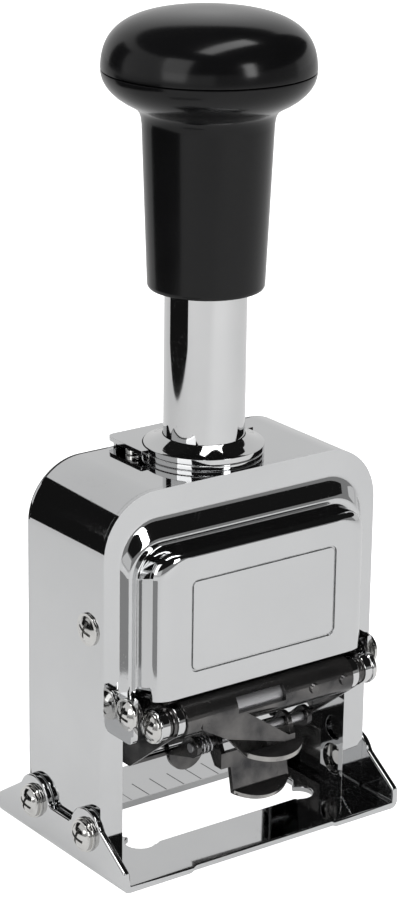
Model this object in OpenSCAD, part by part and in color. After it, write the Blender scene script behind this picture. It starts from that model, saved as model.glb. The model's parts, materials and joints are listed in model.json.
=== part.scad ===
// Hand numbering machine: a push knob drives six number wheels down through
// the window of the base while the ink pad swings out of their way.
// X runs across the front, Y to the back, Z up. The origin is on the paper,
// below the middle of the plunger. Millimetres.

/* [Base] */
// Depth of the base, front to back
base_d = 47; // [44:0.5:60]
// Thickness of the base sheet
base_t = 1.5; // [1.2:0.1:1.7]
// Height that the middle of the base is raised by
base_raise = 0.4; // [0.2:0.1:0.6]
// Width of the raised middle of the base
base_mid_w = 36; // [30:1:40]
// Height of the base flange at its front and rear ends
flange_end_h = 4.8; // [4:0.1:6]
// Height of the base flange where its slope meets the screw lobe
flange_slope_h = 11.3; // [10.5:0.1:12]
// Radius of the lobe round a base screw
lobe_r = 5.6; // [5:0.1:6]
// Distance of the base screws from the frame's front and rear
base_screw_inset = 3.2; // [3:0.1:4]
// Height of the base screws
base_screw_z = 8; // [7.5:0.1:8.5]
// Room between the print window and the outside of the frame
window_inset = 10.8; // [10:0.1:12]
// Front edge of the print window, measured forward from the origin
window_front = 10.4; // [10:0.1:11]
// Rear edge of the print window, measured back from the origin
window_rear = 8.3; // [8:0.1:9]
// Length of the line pointers that stand into the window
pointer_l = 2.4; // [1.7:0.1:3.5]
// Distance of the line pointers' tips in front of the origin
pointer_y = 5.6; // [5:0.1:6]
// Length of the engraved lines that mark the digits' places
ruler_l = 6.5; // [4:0.5:12]
// Thickness of the threaded plate inside each leg
nut_t = 2; // [1.6:0.1:2.4]
// Height of the threaded plate inside each leg
nut_h = 7.2; // [6:0.2:8]
// Thickness of the washers below the base screws
washer_t = 0.6; // [0.4:0.1:1]

/* [Frame] */
// Width of the arched frame
frame_w = 68; // [66:0.5:70]
// Depth of the arched frame without its covers
frame_d = 25.6; // [25.2:0.1:30]
// Height of the top of the arched frame
frame_top_z = 80.4; // [78:0.2:84]
// Radius of the frame's upper corners
frame_corner_r = 12.5; // [10:0.5:14]
// Thickness of the frame sheet
frame_t = 1.4; // [1.2:0.1:1.6]
// Width of the frame's front and rear edges
frame_edge_w = 5.4; // [5:0.1:6]
// Depth of the lip that turns back inside each leg
lip_d = 7.5; // [6:0.1:9]
// Height of the top of that lip
lip_top_z = 27; // [22:0.5:30]
// Radius of the round hole in the lip
lip_hole_r = 2.7; // [2:0.1:3]
// Height of the round hole in the lip
lip_hole_z = 15.2; // [14.5:0.1:16]
// Distance of the side screws behind the frame's front
side_screw_inset = 4.4; // [4:0.1:5]

/* [Covers] */
// Thickness of the cover sheets
cover_t = 1; // [0.8:0.1:1.2]
// Height of the lower end of the front cover's side tabs
tab_bottom_z = 28.8; // [28:0.2:31]
// Width of the flat rim of the front cover at its sides
rim_w = 3.7; // [3:0.1:4.5]
// Width of the flat rim of the front cover along the top
rim_top_w = 6; // [5:0.1:7]
// Height of the first step of the front cover above its rim
step_h = 1.85; // [1.6:0.05:3]
// Distance that the wall of the first step leans in at the sides
step_run = 1.3; // [0.5:0.1:2]
// Distance that the wall of the first step leans in along the top
step_top_run = 3.9; // [3:0.1:4.5]
// Width of the ledge between the first step and the panel
ledge_w = 1.7; // [1.2:0.1:2.5]
// Distance that the wall of the panel leans in
panel_run = 0.75; // [0.4:0.05:1.2]
// Height of the panel's face above the rim
panel_h = 7.7; // [7:0.05:10]
// Height of the lower edge of the panel
panel_bottom_z = 38.5; // [38:0.1:41]
// Height of the panel's round shoulders
shoulder_h = 2.6; // [1.6:0.1:3]
// Width of the round shoulders at the panel's sides
shoulder_w = 4.5; // [3:0.1:5]
// Width of the round shoulder along the panel's top
shoulder_top_w = 1.2; // [0.8:0.1:2]
// Distance of the tab screws in front of the covers' rim
tab_screw_out = 3.3; // [3:0.1:3.6]
// Height of the tab screws
tab_screw_z = 35.9; // [35:0.1:36]
// Width of the recess for a label
label_w = 36.4; // [30:0.2:40]
// Lower edge of the label recess
label_bottom_z = 43.3; // [43:0.1:46]
// Height of the label recess
label_h = 19.8; // [15:0.1:21]
// Depth of the label recess
label_deep = 0.4; // [0.2:0.05:0.6]
// Height of the lower edge of the rear cover
rear_bottom_z = 8.6; // [8.4:0.1:14]
// Height of the mouth between the rear cover's legs
rear_mouth_z = 26; // [18:0.5:30]
// Distance of the rear cover's panel above that mouth
rear_foot = 4; // [3:0.5:6]
// Height of the rear cover's panel above its rim
rear_panel_h = 3.6; // [2:0.1:5]

/* [Plunger] */
// Distance that the plunger travels
stroke = 25.4; // [24:0.1:25.5]
// Radius of the plunger tube
tube_r = 8.36; // [8.1:0.02:8.6]
// Wall of the plunger tube
tube_wall = 1.3; // [1:0.1:1.5]
// Height of the lower face of the knob
knob_bottom_z = 115.4; // [112:0.2:118]
// Radius of the knob's grip at its lower end
grip_r = 11.87; // [11:0.05:12.5]
// Radius of the knob's grip below the cap
grip_top_r = 13.2; // [12.6:0.1:14]
// Radius of the knob's cap
cap_r = 21.6; // [19:0.2:23]
// Height of the cap above the seam
cap_h = 13.4; // [11:0.1:15]
// Roundness of the cap: 2 is an ellipse, more is squarer
cap_round = 3; // [2:0.1:4]
// Height of the knob's rounded underside
under_h = 11; // [9:0.5:13]
// Height of the whole machine
top_z = 171; // [168:0.5:175]
// Distance of the collar round the tube behind the frame's front
collar_inset = 0.4; // [0.3:0.1:0.6]
// Thickness of one of the two rings of the collar
ring_t = 1.16; // [1:0.02:1.2]
// Height of the collar's cone round the tube
cone_h = 1.7; // [1:0.1:2]
// Height of the lock slide above the frame's top
slide_lift = 1.25; // [1:0.05:1.5]
// Wire diameter of the main spring
spring_wire = 1.3; // [1:0.1:1.4]
// Mean radius of the main spring
spring_r = 5.2; // [4.8:0.1:5.6]
// Number of turns of the main spring
spring_turns = 14; // [10:1:15]

/* [Number wheels] */
// Number of wheels
wheel_count = 6; // [6]
// Distance from wheel to wheel
wheel_pitch = 4.6; // [4.4:0.05:4.7]
// Radius of a wheel at the corners of its ten faces
wheel_r = 8; // [7.6:0.1:8]
// Distance of the wheel shaft in front of the plunger's axis
wheel_y = 1; // [0.8:0.1:1.4]
// Radius of the wheel shaft
shaft_r = 2.5; // [2:0.1:2.8]
// Gap between the number wheels and the paper at full stroke
print_gap = 0.4; // [0.3:0.05:0.5]

/* [Ink pad] */
// Distance of the pad holder's pivot in front of the covers' rim
pivot_out = 7.1; // [7:0.05:7.3]
// Height of the pad holder's pivot
pivot_z = 33.8; // [33.6:0.1:34]
// Distance of the upper tongue's fold in front of the pivot
upper_fold_out = 4.9; // [4.6:0.1:5.2]
// Distance of the root of the upper tongue left of the middle
root_left = 12.5; // [11.5:0.1:13]
// Width of the root of the upper tongue
root_w = 10; // [8:0.5:11]
// Distance of the upper tongue's fold below the pivot
upper_fold_drop = 10.2; // [9.5:0.1:10.8]
// Distance of the lever pin behind the pivot
pin_back = 3.8; // [3.6:0.1:4]
// Distance of the lever pin below the pivot
pin_drop = 9.2; // [9:0.1:9.4]
// Distance of the lower tongue's fold in front of the lever pin
lower_fold_out = 4.5; // [4.2:0.1:4.8]
// Distance of the lower tongue's fold below the lever pin
lower_fold_drop = 10.8; // [10:0.1:11.2]
// Radius of the pivot shaft
pivot_r = 2; // [1.6:0.1:2.2]
// Angle that the pad holder swings through
pad_angle = 100; // [95:1:102]
// Room between the ink pad tray and the outside of the frame
tray_inset = 11; // [10.8:0.1:11.5]
// Front of the ink pad tray, measured forward from the plunger's axis
tray_front = 9; // [8.5:0.1:9.5]
// Depth of the ink pad tray
tray_d = 15; // [13:0.5:15.5]
// Height of the underside of the ink pad tray
tray_z = 20.4; // [20.3:0.1:21]
// Thickness of the dark steel sheets of the pad holder
sheet_t = 1.1; // [0.9:0.1:1.2]
// Radius of the sheet tube round the pivot shaft
sleeve_r = 3.9; // [3.6:0.1:4.1]
// Half width of the two finger tongues
tongue_half_w = 7.1; // [6.6:0.1:7.4]
// Length of the half-moon lip of the upper tongue
upper_lip = 4; // [3:0.1:4.5]
// Length of the half-moon lip of the lower tongue
lower_lip = 3; // [2:0.1:3.6]
// Angle that the release lever swings through
lever_angle = 12; // [8:1:14]

/* [Fasteners] */
// Radius of the pan heads
head_r = 3.3; // [3:0.1:3.5]
// Height of the pan heads
head_h = 1.9; // [1.6:0.1:2.2]
// Radius of the screw shanks
shank_r = 1.6; // [1.4:0.1:1.8]

/* [Hidden] */
$fn = 96;
eps = 0.01;
run = 0.05;          // radial clearance of a running fit
hold = 0.02;         // radial clearance where a shaft is fixed
slack = 0.3;         // clearance between parts that move past each other

// frame and covers
half_w = frame_w / 2;
half_d = frame_d / 2;
base_w = frame_w + 2 * base_t;
base_screw_y = half_d - base_screw_inset;
window_half_w = half_w - window_inset;
pointer_x = window_half_w - pointer_l;
leg_z = base_t;
edge_x = half_w - frame_edge_w;
collar_r = half_d - collar_inset;
wall_in_x = half_w - frame_t;
rim_y = half_d + cover_t;
step_x = half_w - rim_w;
step_top_z = frame_top_z - rim_top_w;
panel_y = rim_y + panel_h;
step_y = rim_y + step_h;
ledge_x = step_x - step_run;
ledge_top_z = step_top_z - step_top_run;
panel_x = ledge_x - ledge_w;
ledge_top_w = 1.3;
panel_top_z = ledge_top_z - ledge_top_w;
tab_front_y = rim_y + 5.2;
tab_in_x = step_x - 4.5;
ear_corner_r = 2;
step_corner_r = frame_corner_r - rim_w;
panel_corner_r = step_corner_r - step_run - ledge_w;

// plunger
tube_in_r = tube_r - tube_wall;
bush_bore = tube_r + run;
bush_wall = 1.4;
bush_r = bush_bore + bush_wall;
bush_l = 6;
bush_bottom_z = frame_top_z - bush_l;
axle_z = stroke + print_gap + wheel_r;
bridge_bottom_z = axle_z + wheel_r + 0.8;
tube_bottom_z = bridge_bottom_z + 1.8;
bridge_top_z = tube_bottom_z + 2.4;
slot_bottom_z = bridge_top_z + 1.2;
bar_half_d = 2.2;
bar_h = 4;
bar_flange_t = 1.1;
bar_flange_back = 4;
bar_z = slot_bottom_z + slack;
bar_top_z = bar_z + bar_h;
slot_top_z = bar_top_z + stroke + slack;
plug_z = knob_bottom_z - 1.4;
plug_h = 4;
tube_top_z = plug_z + plug_h + 1.5;
post_r = 2.2;
post_top_z = plug_z - stroke - 2;
seam_z = top_z - cap_h;
under_r = cap_r - 0.2;
under_z = seam_z - 0.35;
spigot_r = 9;
spigot_h = 5;

// number wheels
wheels_half = wheel_count * wheel_pitch / 2;
wheel_w = wheel_pitch - 0.2;
cheek_t = 0.8;
side_in = wheels_half + cheek_t + 0.3;
side_t = 1.5;
side_out = side_in + side_t;
cheek_half_d = 7.2;
side_front = wheel_y + cheek_half_d;
side_rear = cheek_half_d - wheel_y;
bridge_half_d = 9.6;
boss_r = 5.4;

// side screw, tab screw and pivot stack, all measured from the middle
side_screw_y = half_d - side_screw_inset;
side_screw_z = bar_z + 3.7;
tab_screw_y = rim_y + tab_screw_out;
pivot_y = rim_y + pivot_out;
tray_w = frame_w - 2 * tray_inset;
ring_in = tray_w / 2 - 1.8;
sleeve_x = ring_in - 0.15;
rivet_gap = 7.8;
rivet_out = 2.65;
arm_in = tray_w / 2 + 0.05;
arm_t = 0.8;
ear_in = arm_in + arm_t + 0.2;
ear_t = 0.8;
ear_out = ear_in + ear_t;
spacer_out = ear_out + 2.4;
thread_r = 0.9;
thread_l = 4;
hanger_out = step_x - cover_t;

// release lever
pin_y = pivot_y - pin_back;
pin_z = pivot_z - pin_drop;
pin_r = 1;
lug_in = 13.6;
lug_out = lug_in + sheet_t;
cheek_in = 8.4;
cheek_out = cheek_in + sheet_t;
coil_r = 1.75;
coil_wire = 0.5;
coil_pitch = 0.95;
coil_turns = 3;

chrome = [0.78, 0.79, 0.80];
gunmetal = [0.16, 0.16, 0.17];
black = [0.06, 0.06, 0.065];
nickel = [0.62, 0.62, 0.60];
brass = [0.72, 0.60, 0.34];
felt = [0.12, 0.10, 0.20];

// ---------- shared shapes ----------

// both sides of the machine
module both_sides() {
    for (s = [0, 1])
        mirror([s, 0, 0])
            children();
}

// a prism along X from a plan drawn in (y, z), between two x values
module along_x(x0, x1) {
    translate([x0, 0, 0])
        rotate([90, 0, 90])
            linear_extrude(x1 - x0)
                children();
}

// a prism along Y from a plan drawn in (x, z), between two y values
module along_y(y0, y1) {
    translate([0, y1, 0])
        rotate([90, 0, 0])
            linear_extrude(y1 - y0)
                children();
}

// a prism along Z between two z values
module along_z(z0, z1) {
    translate([0, 0, z0])
        linear_extrude(z1 - z0)
            children();
}

// a round bar along X
module bar_x(x0, x1, y, z, r) {
    translate([x0, y, z])
        rotate([0, 90, 0])
            cylinder(h = x1 - x0, r = r);
}

// an arch: straight legs and two rounded upper corners
module arch(half, z0, z1, r) {
    translate([-half, z0])
        square([2 * half, z1 - z0 - r]);
    translate([-half + r, z0])
        square([2 * (half - r), z1 - z0]);
    for (s = [-1, 1])
        translate([s * (half - r), z1 - r])
            circle(r);
}

// a rectangle with four round corners
module round_rect(w, h, r) {
    translate([-w / 2 + r, -h / 2])
        square([w - 2 * r, h]);
    translate([-w / 2, -h / 2 + r])
        square([w, h - 2 * r]);
    for (sx = [-1, 1], sy = [-1, 1])
        translate([sx * (w / 2 - r), sy * (h / 2 - r)])
            circle(r);
}

// profile of a domed pan head, revolved round its axis
module pan_profile(r, h) {
    dome = (r * r + h * h) / (2 * h);
    intersection() {
        translate([0, h - dome])
            circle(dome);
        square([r, h]);
    }
    square([r, h * 0.35]);
}

// a pan head screw along +X: the head stands on x = 0, the shank goes to -X
module pan_screw(r, h, shank, length) {
    cross_w = 0.62;
    cross_l = r * 1.15;
    rotate([0, 90, 0])
        difference() {
            union() {
                rotate_extrude()
                    pan_profile(r, h);
                translate([0, 0, -length])
                    cylinder(h = length + eps, r = shank);
            }
            for (a = [0, 90])
                rotate([0, 0, a + 20])
                    translate([-cross_l / 2, -cross_w / 2, h * 0.45])
                        cube([cross_l, cross_w, h]);
        }
}

// ---------- base ----------

// side view of a base flange with its two screw lobes, in (y, z)
module flange_side() {
    lobe_y = base_screw_y;
    half = base_d / 2;
    polygon([
        [-half, 0], [half, 0], [half, flange_end_h - 0.5], [half - 0.5, flange_end_h],
        [lobe_y + lobe_r * 0.62, flange_slope_h], [lobe_y - 2, flange_slope_h],
        [3.3, base_screw_z + 0.7], [-3.3, base_screw_z + 0.7],
        [-lobe_y + 2, flange_slope_h], [-lobe_y - lobe_r * 0.62, flange_slope_h],
        [-half + 0.5, flange_end_h], [-half, flange_end_h - 0.5]
    ]);
    for (s = [-1, 1])
        translate([s * lobe_y, base_screw_z])
            circle(lobe_r);
}

// cross section of the base sheet in (x, z), with its flanges turned up
module base_section() {
    half = base_w / 2;
    mid = base_mid_w / 2;
    bend = base_t + 0.1;
    top = base_screw_z + lobe_r;
    polygon([
        [-half + bend, 0], [-mid - 0.8, 0], [-mid, base_raise], [mid, base_raise],
        [mid + 0.8, 0], [half - bend, 0], [half - bend, base_t],
        [mid + 0.4, base_t], [mid - 0.4, base_t + base_raise],
        [-mid + 0.4, base_t + base_raise], [-mid - 0.4, base_t], [-half + bend, base_t]
    ]);
    for (s = [-1, 1]) {
        intersection() {
            translate([s * (half - bend), bend])
                circle(bend);
            translate([s * (half - bend / 2) - bend / 2, 0])
                square([bend, bend]);
        }
        translate([s * (half - base_t / 2) - base_t / 2, bend - eps])
            square([base_t, top]);
    }
}

// plan of the window that the number wheels print through, in (x, y)
module window_plan() {
    relief_r = 3.1;
    for (s = [0, 1])
        mirror([s, 0]) {
            polygon([
                [-eps, -window_front], [window_half_w - relief_r, -window_front],
                [window_half_w, -window_front + relief_r], [pointer_x, -pointer_y],
                [window_half_w, 3.2 - pointer_y], [window_half_w, window_rear], [-eps, window_rear]
            ]);
            translate([window_half_w - relief_r + 0.6, -window_front + relief_r - 0.5])
                circle(relief_r);
        }
}

// engraved lines on the rear strip that mark the places of the digits
module ruler_lines() {
    line_w = 0.25;
    line_deep = 0.15;
    for (i = [0:wheel_count - 1])
        translate([(i - (wheel_count - 1) / 2) * wheel_pitch - line_w / 2,
                   window_rear + 0.2, base_t + base_raise - line_deep])
            cube([line_w, ruler_l, 1]);
}

module base_plate() {
    color(chrome)
        difference() {
            intersection() {
                along_y(-base_d / 2, base_d / 2)
                    base_section();
                along_x(-base_w, base_w)
                    flange_side();
            }
            along_z(-1, base_t + 1)
                window_plan();
            ruler_lines();
            for (s = [-1, 1])
                bar_x(-base_w, base_w, s * base_screw_y, base_screw_z, shank_r + 0.1);
        }
}

module base_screws() {
    color(nickel)
        both_sides()
            for (s = [-1, 1])
                translate([base_w / 2 + washer_t, s * base_screw_y, base_screw_z])
                    pan_screw(head_r, head_h, shank_r, 6.4);
}

module base_washers() {
    color(nickel)
        both_sides()
            for (s = [-1, 1])
                difference() {
                    bar_x(base_w / 2, base_w / 2 + washer_t, s * base_screw_y,
                          base_screw_z, head_r + 0.35);
                    bar_x(base_w / 2 - 1, base_w / 2 + 2, s * base_screw_y,
                          base_screw_z, shank_r + 0.1);
                }
}

// threaded plate inside each leg that the base screws hold on to
module base_nuts() {
    plate_half_d = half_d - frame_t - 0.2;
    color(nickel)
        both_sides()
            difference() {
                translate([wall_in_x - nut_t, -plate_half_d, base_screw_z - nut_h / 2])
                    cube([nut_t, 2 * plate_half_d, nut_h]);
                for (s = [-1, 1])
                    bar_x(wall_in_x - nut_t - 1, wall_in_x + 1, s * base_screw_y,
                          base_screw_z, shank_r + hold);
            }
}

// ---------- frame ----------

module outer_frame() {
    inner_r = frame_corner_r - frame_t;
    foot_cut = 1.2;
    color(chrome)
        difference() {
            union() {
                difference() {
                    along_y(-half_d, half_d)
                        arch(half_w, leg_z, frame_top_z, frame_corner_r);
                    along_y(-half_d + frame_t, half_d - frame_t)
                        arch(wall_in_x, leg_z - 1, frame_top_z - frame_t, inner_r);
                    along_y(-half_d - 1, half_d + 1)
                        arch(edge_x, leg_z - 1, frame_top_z - frame_edge_w,
                             frame_corner_r - frame_edge_w);
                }
                both_sides()
                    difference() {
                        translate([edge_x, -half_d, leg_z])
                            cube([frame_t, lip_d, lip_top_z - leg_z]);
                        bar_x(edge_x - 1, edge_x + 2, -base_screw_y, lip_hole_z,
                              lip_hole_r);
                        bar_x(edge_x - 1, edge_x + 2, -base_screw_y, base_screw_z,
                              shank_r + 1.9);
                    }
            }
            // the tube's bush
            translate([0, 0, bush_bottom_z - 1])
                cylinder(h = bush_l + 2, r = bush_r + hold);
            // base screws and side screws
            for (s = [-1, 1])
                bar_x(-base_w, base_w, s * base_screw_y, base_screw_z, shank_r + 0.1);
            bar_x(-base_w, -wall_in_x + 1, -side_screw_y, side_screw_z, shank_r + 0.1);
            bar_x(wall_in_x - 1, base_w, -side_screw_y, side_screw_z, shank_r + 0.1);
            guide_slots();
            // room for the base's inner bend
            both_sides()
                translate([half_w, 0, leg_z])
                    rotate([0, 45, 0])
                        cube([foot_cut, base_d, foot_cut], center = true);
        }
}

module side_screws() {
    color(nickel)
        both_sides()
            translate([half_w, -side_screw_y, side_screw_z])
                pan_screw(head_r + 0.1, 1.3, shank_r, frame_t + 1.1);
}

// ---------- front cover ----------

// one level of the emboss: an arch plate at a height above the rim
module level(half, bottom, top, r, height) {
    thin = 0.02;
    along_y(-rim_y - height, -rim_y - height + thin)
        arch(half, bottom, top, r, $fn = 32);
}

// outer skin of the front cover moved inwards by a wall, without its rim plate
module panel_solid(inset, bottom) {
    ledge_r = step_corner_r - step_run;
    wall_h = panel_h - shoulder_h;
    // first step, with walls that lean in
    hull() {
        level(step_x - inset, bottom, step_top_z - inset, step_corner_r - inset, -cover_t - eps);
        level(step_x - inset, bottom, step_top_z - inset, step_corner_r - inset, -inset);
        level(ledge_x - inset, bottom, ledge_top_z - inset, ledge_r - inset, step_h - inset);
    }
    // the panel, with walls that lean in and round shoulders
    hull() {
        level(panel_x - inset, bottom, panel_top_z - inset, panel_corner_r - inset, -cover_t - eps);
        for (a = [0:18:90])
            level(panel_x - inset - panel_run - shoulder_w * (1 - cos(a)), bottom,
                  panel_top_z - inset - shoulder_top_w * (1 - cos(a)),
                  panel_corner_r - inset - panel_run - shoulder_top_w * (1 - cos(a)),
                  wall_h + shoulder_h * sin(a) - inset);
    }
}

module front_cover() {
    color(chrome)
        difference() {
            union() {
                difference() {
                    union() {
                        // rim plate
                        along_y(-rim_y, -half_d)
                            arch(half_w, tab_bottom_z, frame_top_z, frame_corner_r);
                        panel_solid(0, panel_bottom_z);
                    }
                    // hollow of the panel
                    panel_solid(cover_t, panel_bottom_z - 1);
                    // the mouth below the panel, between the two side tabs
                    along_y(-panel_y - 1, 0)
                        translate([-tab_in_x, tab_bottom_z - 1])
                            square([2 * tab_in_x, panel_bottom_z - tab_bottom_z + 1]);
                    // behind the rim there is nothing of the cover
                    translate([-base_w, -half_d, 0])
                        cube([2 * base_w, base_d, 2 * frame_top_z]);
                    // label recess
                    along_y(-panel_y - 1, -panel_y + label_deep)
                        translate([0, label_bottom_z + label_h / 2])
                            round_rect(label_w, label_h, 1.5);
                }
                // ears that the tab screws go through
                both_sides()
                    along_x(step_x - cover_t, step_x)
                        ear_side(-rim_y, -tab_front_y, tab_bottom_z + 0.6, panel_bottom_z + 1);
            }
            both_sides()
                bar_x(step_x - 3, step_x + 3, -tab_screw_y, tab_screw_z, shank_r + 0.1);
        }
}

// side view of an ear in (y, z) with its lower front corner rounded
module ear_side(back, front, bottom, top) {
    r = ear_corner_r;
    translate([front, bottom + r])
        square([back - front, top - bottom - r]);
    translate([front + r, bottom])
        square([back - front - r, top - bottom]);
    translate([front + r, bottom + r])
        circle(r);
}

module tab_screws() {
    color(nickel)
        both_sides()
            translate([step_x, -tab_screw_y, tab_screw_z])
                pan_screw(head_r, head_h, shank_r, 2 * cover_t + 0.2);
}

// ---------- rear cover ----------

module rear_cover() {
    px = half_w - frame_edge_w - 1;
    top = frame_top_z - frame_edge_w - 1;
    r = frame_corner_r - frame_edge_w;
    outer = rim_y + rear_panel_h;
    foot = rear_mouth_z + rear_foot;
    color(chrome)
        difference() {
            union() {
                along_y(half_d, rim_y)
                    arch(half_w, rear_bottom_z, frame_top_z, frame_corner_r);
                along_y(rim_y - eps, outer - 0.8)
                    arch(px, foot, top, r);
                along_y(outer - 0.9, outer)
                    arch(px - 0.9, foot + 0.9, top - 0.9, r - 0.9);
            }
            along_y(half_d - 1, outer - cover_t)
                arch(px - cover_t, foot + cover_t, top - cover_t, r - cover_t);
            // mouth between the legs
            translate([-px, half_d - 1, rear_bottom_z - 1])
                cube([2 * px, cover_t + 2, rear_mouth_z - rear_bottom_z + 1]);
        }
}

// ---------- pad holder pivot, fixed to the frame ----------

module pivot_bracket() {
    web_y = rim_y + panel_h - shoulder_h - cover_t - slack;
    web_z = 41;
    web_h = 8;
    arm_y = rim_y + 0.2;
    arm_z = pivot_z + 1;
    arm_top_z = panel_bottom_z - slack;
    ear_r = 2.9;
    color(gunmetal)
        difference() {
            union() {
                // web behind the panel
                translate([-ear_out, -web_y, web_z])
                    cube([2 * ear_out, ear_t, web_h]);
                both_sides() {
                    // ear that holds the pivot shaft
                    along_x(ear_in, ear_out) {
                        translate([-pivot_y, pivot_z])
                            circle(ear_r);
                        polygon([
                            [-pivot_y - 0.5, pivot_z], [-pivot_y + ear_r, pivot_z],
                            [-arm_y, arm_z], [-arm_y, web_z + web_h],
                            [-web_y, web_z + web_h], [-web_y, arm_top_z],
                            [-pivot_y - 0.5, panel_bottom_z - 1.2]
                        ]);
                    }
                    // arm out to the tab screw
                    translate([ear_in, -arm_y - ear_t, arm_z])
                        cube([hanger_out - ear_in - 0.1, ear_t, arm_top_z - arm_z]);
                    along_x(hanger_out - ear_t - 0.1, hanger_out - 0.1)
                        hanger_side(arm_y, arm_top_z);
                }
            }
            bar_x(-half_w, half_w, -pivot_y, pivot_z, pivot_r + hold);
            both_sides()
                bar_x(hanger_out - 3, hanger_out + 3, -tab_screw_y, tab_screw_z,
                      shank_r + hold);
        }
}

// side view of the hanger plate behind an ear of the cover, in (y, z)
module hanger_side(back, top) {
    translate([-tab_screw_y, tab_screw_z])
        circle(2.4);
    translate([-back - 0.9, tab_screw_z])
        square([0.9, top - tab_screw_z]);
}

module pivot_shaft() {
    color(nickel)
        difference() {
            bar_x(-spacer_out, spacer_out, -pivot_y, pivot_z, pivot_r);
            both_sides()
                bar_x(spacer_out - thread_l - 0.2, spacer_out + 1, -pivot_y, pivot_z,
                      thread_r + hold);
        }
}

module pivot_screws() {
    color(nickel)
        both_sides()
            translate([spacer_out, -pivot_y, pivot_z])
                pan_screw(head_r, 1.5, thread_r, thread_l);
}

module pivot_spacers() {
    color(nickel)
        both_sides()
            difference() {
                union() {
                    bar_x(ear_out, spacer_out - 0.5, -pivot_y, pivot_z, head_r - 0.1);
                    bar_x(spacer_out - 0.6, spacer_out, -pivot_y, pivot_z, head_r + 0.2);
                }
                bar_x(ear_out - 1, spacer_out + 1, -pivot_y, pivot_z, pivot_r + hold);
            }
}

// ---------- inside the frame ----------

module cross_bar() {
    flange_front = half_d - frame_t - 0.2;
    color(nickel)
        difference() {
            union() {
                translate([-wall_in_x, -bar_half_d, bar_z])
                    cube([2 * wall_in_x, 2 * bar_half_d, bar_h]);
                both_sides()
                    translate([wall_in_x - bar_flange_t, -flange_front, bar_z - 2])
                        cube([bar_flange_t, flange_front + bar_flange_back, bar_h + 5]);
            }
            both_sides()
                bar_x(wall_in_x - 3, wall_in_x + 2, -side_screw_y, side_screw_z,
                      shank_r + hold);
            translate([0, 0, bar_z - 1])
                cylinder(h = bar_h + 2, r = post_r + hold);
        }
}

module spring_post() {
    color(nickel)
        translate([0, 0, bar_z])
            cylinder(h = post_top_z - bar_z, r = post_r);
}

// points of a ring of six sides round a wire, at one place of a coil
function coil_ring(t, r, wire, rise) =
    [for (k = [0:5])
        let (a = k * 60, d = wire / 2)
        [(r + d * cos(a)) * cos(t), (r + d * cos(a)) * sin(t), rise + d * sin(a)]];

// a coil round Z as one unbroken tube, with flat ends
module coil(r, wire, turns, height, z0) {
    steps = turns * 8;
    rings = [for (i = [0:steps]) coil_ring(i * 45, r, wire, z0 + height * i / steps)];
    count = len(rings);
    polyhedron(
        points = [for (ring = rings) each ring],
        faces = concat(
            [[for (k = [5:-1:0]) k]],
            [for (i = [0:count - 2], k = [0:5])
                [i * 6 + k, i * 6 + (k + 1) % 6, (i + 1) * 6 + (k + 1) % 6]],
            [for (i = [0:count - 2], k = [0:5])
                [i * 6 + k, (i + 1) * 6 + (k + 1) % 6, (i + 1) * 6 + k]],
            [[for (k = [0:5]) (count - 1) * 6 + k]]
        )
    );
}

module main_spring() {
    start = bar_top_z + spring_wire / 2 + 0.1;
    height = plug_z - spring_wire - 0.2 - bar_top_z;
    color(nickel)
        coil(spring_r, spring_wire, spring_turns, height, start);
}

// half section of a collar ring in (r, z) whose top rises to the tube
module ring_section(bore, rise) {
    edge = 0.15;
    polygon([
        [bore, 0], [collar_r - edge, 0], [collar_r, edge],
        [collar_r, ring_t - edge], [collar_r - edge, ring_t], [bore, ring_t + rise]
    ]);
}

module collar_bush() {
    color(nickel)
        difference() {
            union() {
                translate([0, 0, bush_bottom_z])
                    cylinder(h = frame_top_z - bush_bottom_z + eps, r = bush_r);
                translate([0, 0, frame_top_z])
                    rotate_extrude()
                        ring_section(bush_bore, 0);
            }
            translate([0, 0, bush_bottom_z - 1])
                cylinder(h = 20, r = bush_bore);
        }
}

module collar_disc() {
    color(chrome)
        translate([0, 0, frame_top_z + ring_t + 0.08])
            rotate_extrude()
                ring_section(bush_bore + 0.1, cone_h);
}

// lock slide: a fork round the collar, on two pins that run in slots of the frame
guide_x = collar_r + 0.1;
guide_y = half_d - 5.6;
guide_pin_r = 1;
guide_head_r = guide_pin_r + 0.5;
slide_travel = 2;
slide_z = frame_top_z + slide_lift;
slide_t = 0.9;
pin_seat = 0.5;

// slots of the frame that the pins run in
module guide_slots() {
    r = guide_pin_r + run;
    both_sides()
        translate([guide_x, guide_y, frame_top_z - frame_t - 1]) {
            cylinder(h = frame_t + 2, r = r);
            translate([0, slide_travel, 0])
                cylinder(h = frame_t + 2, r = r);
            translate([-r, 0, 0])
                cube([2 * r, slide_travel, frame_t + 2]);
        }
}

module slide_pins() {
    head_t = 0.6;
    under_z = frame_top_z - frame_t - run;
    color(nickel)
        both_sides()
            translate([guide_x, guide_y, 0]) {
                // head below the frame's top
                translate([0, 0, under_z - head_t])
                    cylinder(h = head_t, r = guide_head_r);
                translate([0, 0, under_z - eps])
                    cylinder(h = slide_z + pin_seat - under_z, r = guide_pin_r);
                // shoulder that carries the slide
                translate([0, 0, frame_top_z + run])
                    cylinder(h = slide_z - frame_top_z - run, r = guide_head_r);
            }
}

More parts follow.
